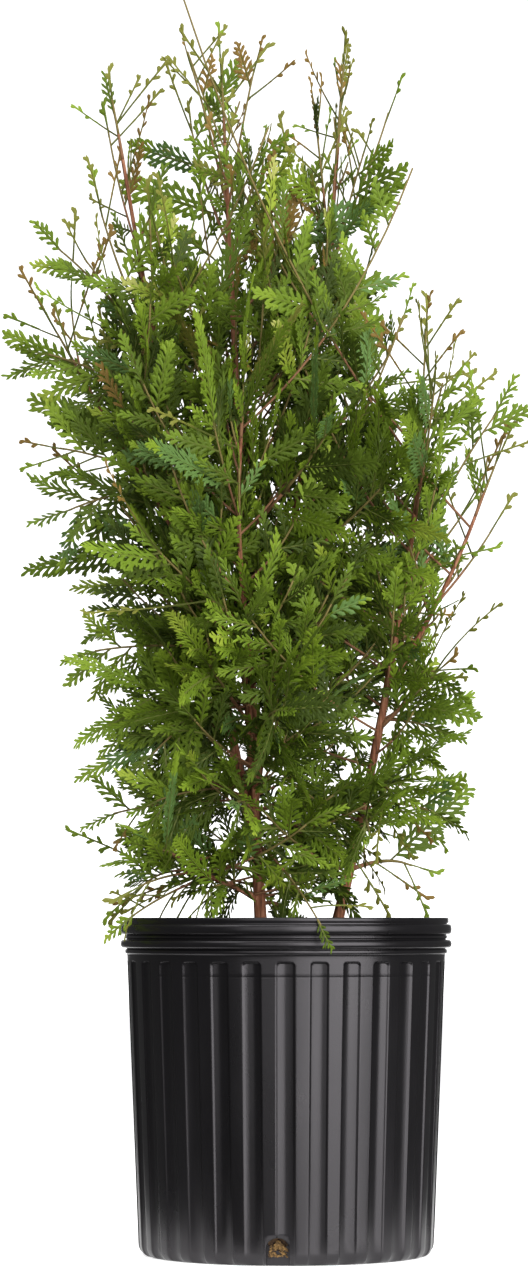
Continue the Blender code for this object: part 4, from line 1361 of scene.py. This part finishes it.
# Rows down the side, closer at the flutes' tops and at the fine moulding line
SIDE_DROPS = (0.0275, 0.0300, 0.0308, 0.0314, 0.0318, 0.0322, 0.0328, 0.0336, 0.0346, 0.0360, 0.0390,
              0.0419, 0.0422, 0.0425, 0.0428)
SIDE_STEPS, FOOT_STEPS, INSIDE_STEPS = 14, 7, 9
MOULDING_DROP, MOULDING_REACH, MOULDING_DEPTH = 0.0423, 0.0002, 0.00010
FLUTE_FOOT, FLUTE_CORNER, FLUTE_EDGE = -0.02, 0.0022, 0.0009
FLUTE_SIDE, FLUTE_MIDDLE = 0.50, 0.85
FLUTE_COLUMNS = (0.0, 0.0016, 0.0030, 0.0042, 0.0051, 0.0058, 0.00635, 0.0069, 0.0077, 0.0098)
COLUMN_RADIUS = 0.97
FLUTED_BELOW, FLUTE_FADE = 0.029, 0.004
MIX_GAP, MIX_RINGS, MIX_AROUND, MIX_LUMP = 0.0008, 34, 120, 0.6
MIX_WAVES, MIX_WAVE_LENGTHS, MIX_WAVE_HEIGHTS = 24, (30, 160), (0.0002, 0.0009)
MIX_FOOT_INSET, MIX_FOOT = 0.0006, FLOOR + 0.0003


def rounded(low, high, radius, base, steps):
    """A rounded ring on the wall, between two drops below the rim."""
    middle, half = (low + high) / 2, (high - low) / 2
    rows = []
    for i in range(steps + 1):
        a = -math.pi / 2 + math.pi * i / steps
        swell = max(0.0, math.cos(a)) ** RING_FULLNESS
        rows.append((base + (radius - base) * swell, POT_HEIGHT - (middle + half * math.sin(a))))
    return rows


def outside_rows():
    """(radius, height) down the pot's outside, from the lip to the underside's edge."""
    rows = [(radius, POT_HEIGHT - drop) for radius, drop in LIP_OUTSIDE]
    for ring in RIM_RINGS:
        rows += rounded(*ring)
    last = SIDE_DROPS[-1]
    drops = [last + (POT_HEIGHT - FOOT_CORNER - last) * i / SIDE_STEPS for i in range(1, SIDE_STEPS + 1)]
    for drop in [*SIDE_DROPS, *drops]:
        height = POT_HEIGHT - drop
        line = MOULDING_DEPTH if abs(drop - MOULDING_DROP) < MOULDING_REACH else 0.0
        rows.append((wall_radius(height) - line, height))
    corner = wall_radius(FOOT_CORNER)
    for i in range(1, FOOT_STEPS + 1):
        a = math.pi / 2 * i / FOOT_STEPS
        radius = corner - (corner - UNDERSIDE_RADIUS) * (1 - math.cos(a))
        rows.append((radius, FOOT_CORNER * (1 - math.sin(a))))
    return rows


def inside_rows():
    """(radius, height) down the pot's inside, from the lip to the floor."""
    rows = [(radius, POT_HEIGHT - drop) for radius, drop in LIP_INSIDE]
    shoulder = POT_HEIGHT - BODY_TOP_DROP
    upper = wall_radius(shoulder) - WALL
    rows.append((upper, shoulder))
    for i in range(1, INSIDE_STEPS + 1):
        share = i / INSIDE_STEPS
        radius = upper * (1 - share) + inner_foot_radius() * share
        rows.append((radius, shoulder + (FLOOR - shoulder) * share))
    return rows


def flute_sink(angle, radius, height):
    """How deep the wall is sunk at a place: one flat-bottomed groove with round corners in each pitch."""
    pitch = math.tau / FLUTES
    turned_by = (angle - (-math.pi / 2 + FLUTE_TURN) + pitch / 2) % pitch - pitch / 2
    low, high = FLUTE_FOOT, POT_HEIGHT - FLUTE_TOP_DROP
    away_x = abs(turned_by) * radius - (FLUTE_WIDTH / 2 - FLUTE_CORNER)
    away_z = abs(height - (low + high) / 2) - ((high - low) / 2 - FLUTE_CORNER)
    distance = math.hypot(max(away_x, 0), max(away_z, 0)) + min(max(away_x, away_z), 0) - FLUTE_CORNER
    share = min(1.0, max(0.0, 0.5 - distance / FLUTE_EDGE))
    hollow = FLUTE_SIDE + FLUTE_MIDDLE * max(0.0, math.cos(math.pi * turned_by * radius / FLUTE_WIDTH))
    return FLUTE_DEPTH * hollow * share * share * (3 - 2 * share)


def pot_columns():
    """Angles of the columns: close together at the edges of each flute."""
    middle = BODY_TOP_RADIUS * COLUMN_RADIUS
    sides = [-offset / middle for offset in FLUTE_COLUMNS[:0:-1]]
    sides += [offset / middle for offset in FLUTE_COLUMNS]
    first = -math.pi / 2 + FLUTE_TURN
    return [first + i * math.tau / FLUTES + side for i in range(FLUTES) for side in sides]


def halves(a, b, c, d):
    """A four-sided face as two triangles."""
    return [(a, b, c), (a, c, d)]


def band_faces(low, high, around):
    """Faces between two rings of points, given by their first point."""
    faces = []
    for k in range(around):
        after = (k + 1) % around
        faces += halves(low + k, low + after, high + after, high + k)
    return faces


def make_pot_piece():
    """The pot as one closed shell: the fluted outside, the plain inside, the floor and the underside."""
    outside, inside = outside_rows(), inside_rows()
    columns = pot_columns()
    around = len(columns)
    verts = []
    for radius, height in outside:
        fade = min(1.0, (radius - UNDERSIDE_RADIUS) / FLUTE_FADE)
        for angle in columns:
            sink = flute_sink(angle, radius, height) if height < POT_HEIGHT - FLUTED_BELOW else 0.0
            r = radius - sink * fade
            verts.append((r * math.cos(angle), r * math.sin(angle), height))
    for radius, height in inside:
        verts += [(radius * math.cos(angle), radius * math.sin(angle), height) for angle in columns]
    rows = [row * around for row in range(len(outside) + len(inside))]
    split = len(outside)
    faces = []
    for low, high in zip(rows[:split - 1], rows[1:split]):
        faces += [face[::-1] for face in band_faces(low, high, around)]
    for low, high in zip(rows[split:-1], rows[split + 1:]):
        faces += band_faces(low, high, around)
    faces += band_faces(rows[0], rows[split], around)
    under = len(verts)
    verts += [(0.0, 0.0, 0.0), (0.0, 0.0, FLOOR)]
    for k in range(around):
        after = (k + 1) % around
        faces.append((under, rows[split - 1] + after, rows[split - 1] + k))
        faces.append((under + 1, rows[-1] + k, rows[-1] + after))
    return mesh_from_arrays("pot_body", verts, faces, pot_material(), True)


def cut_drains(pot):
    """Arched drain holes at the foot, cut by the same outline as in the solid."""
    cutters = make_drain_cutters()
    tool = pot.modifiers.new("drains", "BOOLEAN")
    tool.operation = "DIFFERENCE"
    tool.solver = "MANIFOLD"
    tool.operand_type = "COLLECTION"
    tool.collection = cutters
    mesh = evaluated_mesh(pot)
    pot.modifiers.clear()
    pot.data = mesh
    for cutter in list(cutters.objects):
        bpy.data.objects.remove(cutter, do_unlink=True)
    bpy.data.collections.remove(cutters)


def ring_points(radius, height, around):
    turns = [k * math.tau / around for k in range(around)]
    return [(radius * math.cos(turn), radius * math.sin(turn), height) for turn in turns]


def mix_surface(material):
    """The mix as one closed body with a lumpy top."""
    rng = random.Random(MIX_SEED)
    edge = wall_radius(SOIL_TOP) - WALL - MIX_GAP
    waves = [(rng.uniform(*MIX_WAVE_LENGTHS), rng.uniform(0, math.tau), rng.uniform(0, math.tau),
              rng.uniform(*MIX_WAVE_HEIGHTS)) for _ in range(MIX_WAVES)]
    verts = [(0.0, 0.0, SOIL_TOP)]
    for i in range(1, MIX_RINGS + 1):
        radius = edge * i / MIX_RINGS
        fall = SOIL_EDGE_DROP * max(0.0, (radius - SOIL_FLAT_RADIUS) / (edge - SOIL_FLAT_RADIUS))
        for x, y, height in ring_points(radius, SOIL_TOP - fall, MIX_AROUND):
            lumps = sum(size * math.sin(f * (x * math.cos(d) + y * math.sin(d)) + p)
                        for f, d, p, size in waves)
            verts.append((x, y, height + lumps * MIX_LUMP))
    starts = [1 + i * MIX_AROUND for i in range(MIX_RINGS + 1)]
    verts += ring_points(inner_foot_radius() - MIX_FOOT_INSET, MIX_FOOT, MIX_AROUND)
    verts.append((0.0, 0.0, MIX_FOOT))
    faces = []
    for k in range(MIX_AROUND):
        after = (k + 1) % MIX_AROUND
        faces += [(0, 1 + k, 1 + after), (len(verts) - 1, starts[-1] + after, starts[-1] + k)]
    for low, high in zip(starts, starts[1:]):
        faces += [face[::-1] for face in band_faces(low, high, MIX_AROUND)]
    return mesh_from_arrays("mix", verts, faces, material, True)


CHIP_KNOCK = (0.55, 1.1)
CHIP_FACES = ((0, 1, 3, 2), (4, 6, 7, 5), (0, 4, 5, 1), (2, 3, 7, 6), (0, 2, 6, 4), (1, 5, 7, 3))
CHIP_CELLS = 48
CHIP_CROWD = 60000.0
CHIP_TURN = ((-0.35, -0.35, 0.0), (0.35, 0.35, math.tau))
CHIP_SCALE = ((0.45, 0.5, 0.7), (1.0, 1.1, 1.2))
SCATTER_SEED = 4
DRAIN_CHIP = (0.0009, 0.0019, 0.0007)
DRAIN_CHIP_LOW, DRAIN_CHIP_HIGH, DRAIN_CHIP_SIDE = 0.0025, 0.0030, 0.0022
DRAIN_CHIP_DEPTH, DRAIN_CHIP_LEAN = (0.0004, 0.0014), 1.2


def chip_arrays(size, rng):
    """A broken chip of bark: a box with every corner knocked about."""
    corners = [[side * half * rng.uniform(*CHIP_KNOCK) for side, half in zip(signs, size)]
               for signs in product((-1, 1), repeat=3)]
    faces = [half for quad in CHIP_FACES for half in halves(*quad)]
    return np.array(corners), np.array(faces)


def chip_ground(material):
    """The part of the mix's top that chips lie on: clear of the wall and of the stems' feet."""
    edge = wall_radius(SOIL_TOP) - WALL - CHIP_SIZE[0]
    cell = edge / CHIP_CELLS
    verts, faces = [], []
    for i, k in product(range(-CHIP_CELLS, CHIP_CELLS), repeat=2):
        x, y = i * cell, k * cell
        middle = Vector((x + cell / 2, y + cell / 2))
        feet = min((middle - foot.to_2d()).length for foot in (TRUNK_FOOT, SECOND_FOOT))
        if middle.length < edge and feet > CHIP_FOOT_GAP:
            faces += halves(*range(len(verts), len(verts) + 4))
            verts += [(x, y, SOIL_TOP), (x + cell, y, SOIL_TOP), (x + cell, y + cell, SOIL_TOP),
                      (x, y + cell, SOIL_TOP)]
    return mesh_from_arrays("chip_ground", verts, faces, material)


def random_vector(tree, least, most):
    node = tree.nodes.new("FunctionNodeRandomValue")
    node.data_type = "FLOAT_VECTOR"
    node.inputs[0].default_value = least
    node.inputs[1].default_value = most
    return node.outputs[0]


def scatter_tree(chip, material):
    """Chips laid at random over a surface, each turned and scaled, as real geometry."""
    tree = bpy.data.node_groups.new("scatter_chips", "GeometryNodeTree")
    for name, way in (("Surface", "INPUT"), ("Chips", "OUTPUT")):
        tree.interface.new_socket(name, in_out=way, socket_type="NodeSocketGeometry")
    kinds = ("NodeGroupInput", "GeometryNodeDistributePointsOnFaces", "GeometryNodeInstanceOnPoints",
             "GeometryNodeRealizeInstances", "GeometryNodeSetMaterial", "NodeGroupOutput")
    chain = [tree.nodes.new(kind) for kind in kinds]
    for before, after in zip(chain, chain[1:]):
        tree.links.new(before.outputs[0], after.inputs[0])
    points, lay, paint = chain[1], chain[2], chain[4]
    points.distribute_method = "POISSON"
    points.inputs["Density Max"].default_value = CHIP_CROWD
    points.inputs["Distance Min"].default_value = CHIP_SPACING
    points.inputs["Seed"].default_value = SCATTER_SEED
    info = tree.nodes.new("GeometryNodeObjectInfo")
    info.inputs["Object"].default_value = chip
    paint.inputs["Material"].default_value = material
    tree.links.new(info.outputs["Geometry"], lay.inputs["Instance"])
    tree.links.new(random_vector(tree, *CHIP_TURN), lay.inputs["Rotation"])
    tree.links.new(random_vector(tree, *CHIP_SCALE), lay.inputs["Scale"])
    return tree


def lay_chips(material):
    """Loose chips on the mix's top, laid by the node tree and kept as a plain mesh."""
    ground = chip_ground(material)
    chip = mesh_from_arrays("chip", *chip_arrays(CHIP_SIZE, random.Random(CHIP_SEED)), material)
    ground.modifiers.new("scatter", "NODES").node_group = scatter_tree(chip, material)
    piece = bpy.data.objects.new("mix_chips", evaluated_mesh(ground))
    for item in (ground, chip):
        bpy.data.objects.remove(item, do_unlink=True)
    bpy.context.scene.collection.objects.link(piece)
    return piece


def drain_chips(material):
    """Coarse chips of the mix that show in each drain hole, between the wall's two faces."""
    rng = random.Random(DRAIN_SEED)
    long, wide, thick = DRAIN_CHIP
    parts = []
    for hole in range(DRAIN_HOLES):
        middle = -math.pi / 2 + DRAIN_TURN + hole * math.tau / DRAIN_HOLES
        for _ in range(DRAIN_CHIPS):
            height = rng.uniform(FLOOR + DRAIN_CHIP_LOW, DRAIN_HEIGHT - DRAIN_CHIP_HIGH)
            width = min(DRAIN_WIDTH / 2, DRAIN_HEIGHT - height) - DRAIN_CHIP_SIDE
            radius = inner_foot_radius() + rng.uniform(*DRAIN_CHIP_DEPTH)
            angle = middle + rng.uniform(-width, width) / radius
            verts, faces = chip_arrays((long, wide * rng.uniform(0.5, 1.0), thick), rng)
            lean = Matrix.Rotation(rng.uniform(-DRAIN_CHIP_LEAN, DRAIN_CHIP_LEAN), 4, "X")
            place = Matrix.Rotation(angle, 4, "Z") @ Matrix.Translation((radius, 0.0, height)) @ lean
            parts.append((moved(verts, place), faces))
    return mesh_from_arrays("drain_chips", *join_arrays(parts), material)


def main():
    make_camera()
    make_studio()
    rng = random.Random(BARK_SEED)
    bark = bark_material()
    for limb in LIMBS:
        make_limb_piece(limb, bark, rng)
    make_foliage([name for name in frame["nodes"] if name.startswith("foliage")])
    pot = make_pot_piece()
    cut_drains(pot)
    finish_piece(pot, ("pot",))
    finish_piece(mix_surface(mix_material("bark_mix", *MIX_COLOURS, 220.0)), ("soil",))
    finish_piece(lay_chips(mix_material("chip_bark", *CHIP_COLOURS, 90.0)))
    finish_piece(drain_chips(mix_material("drain_bark", *DRAIN_COLOURS, 420.0)))


main()
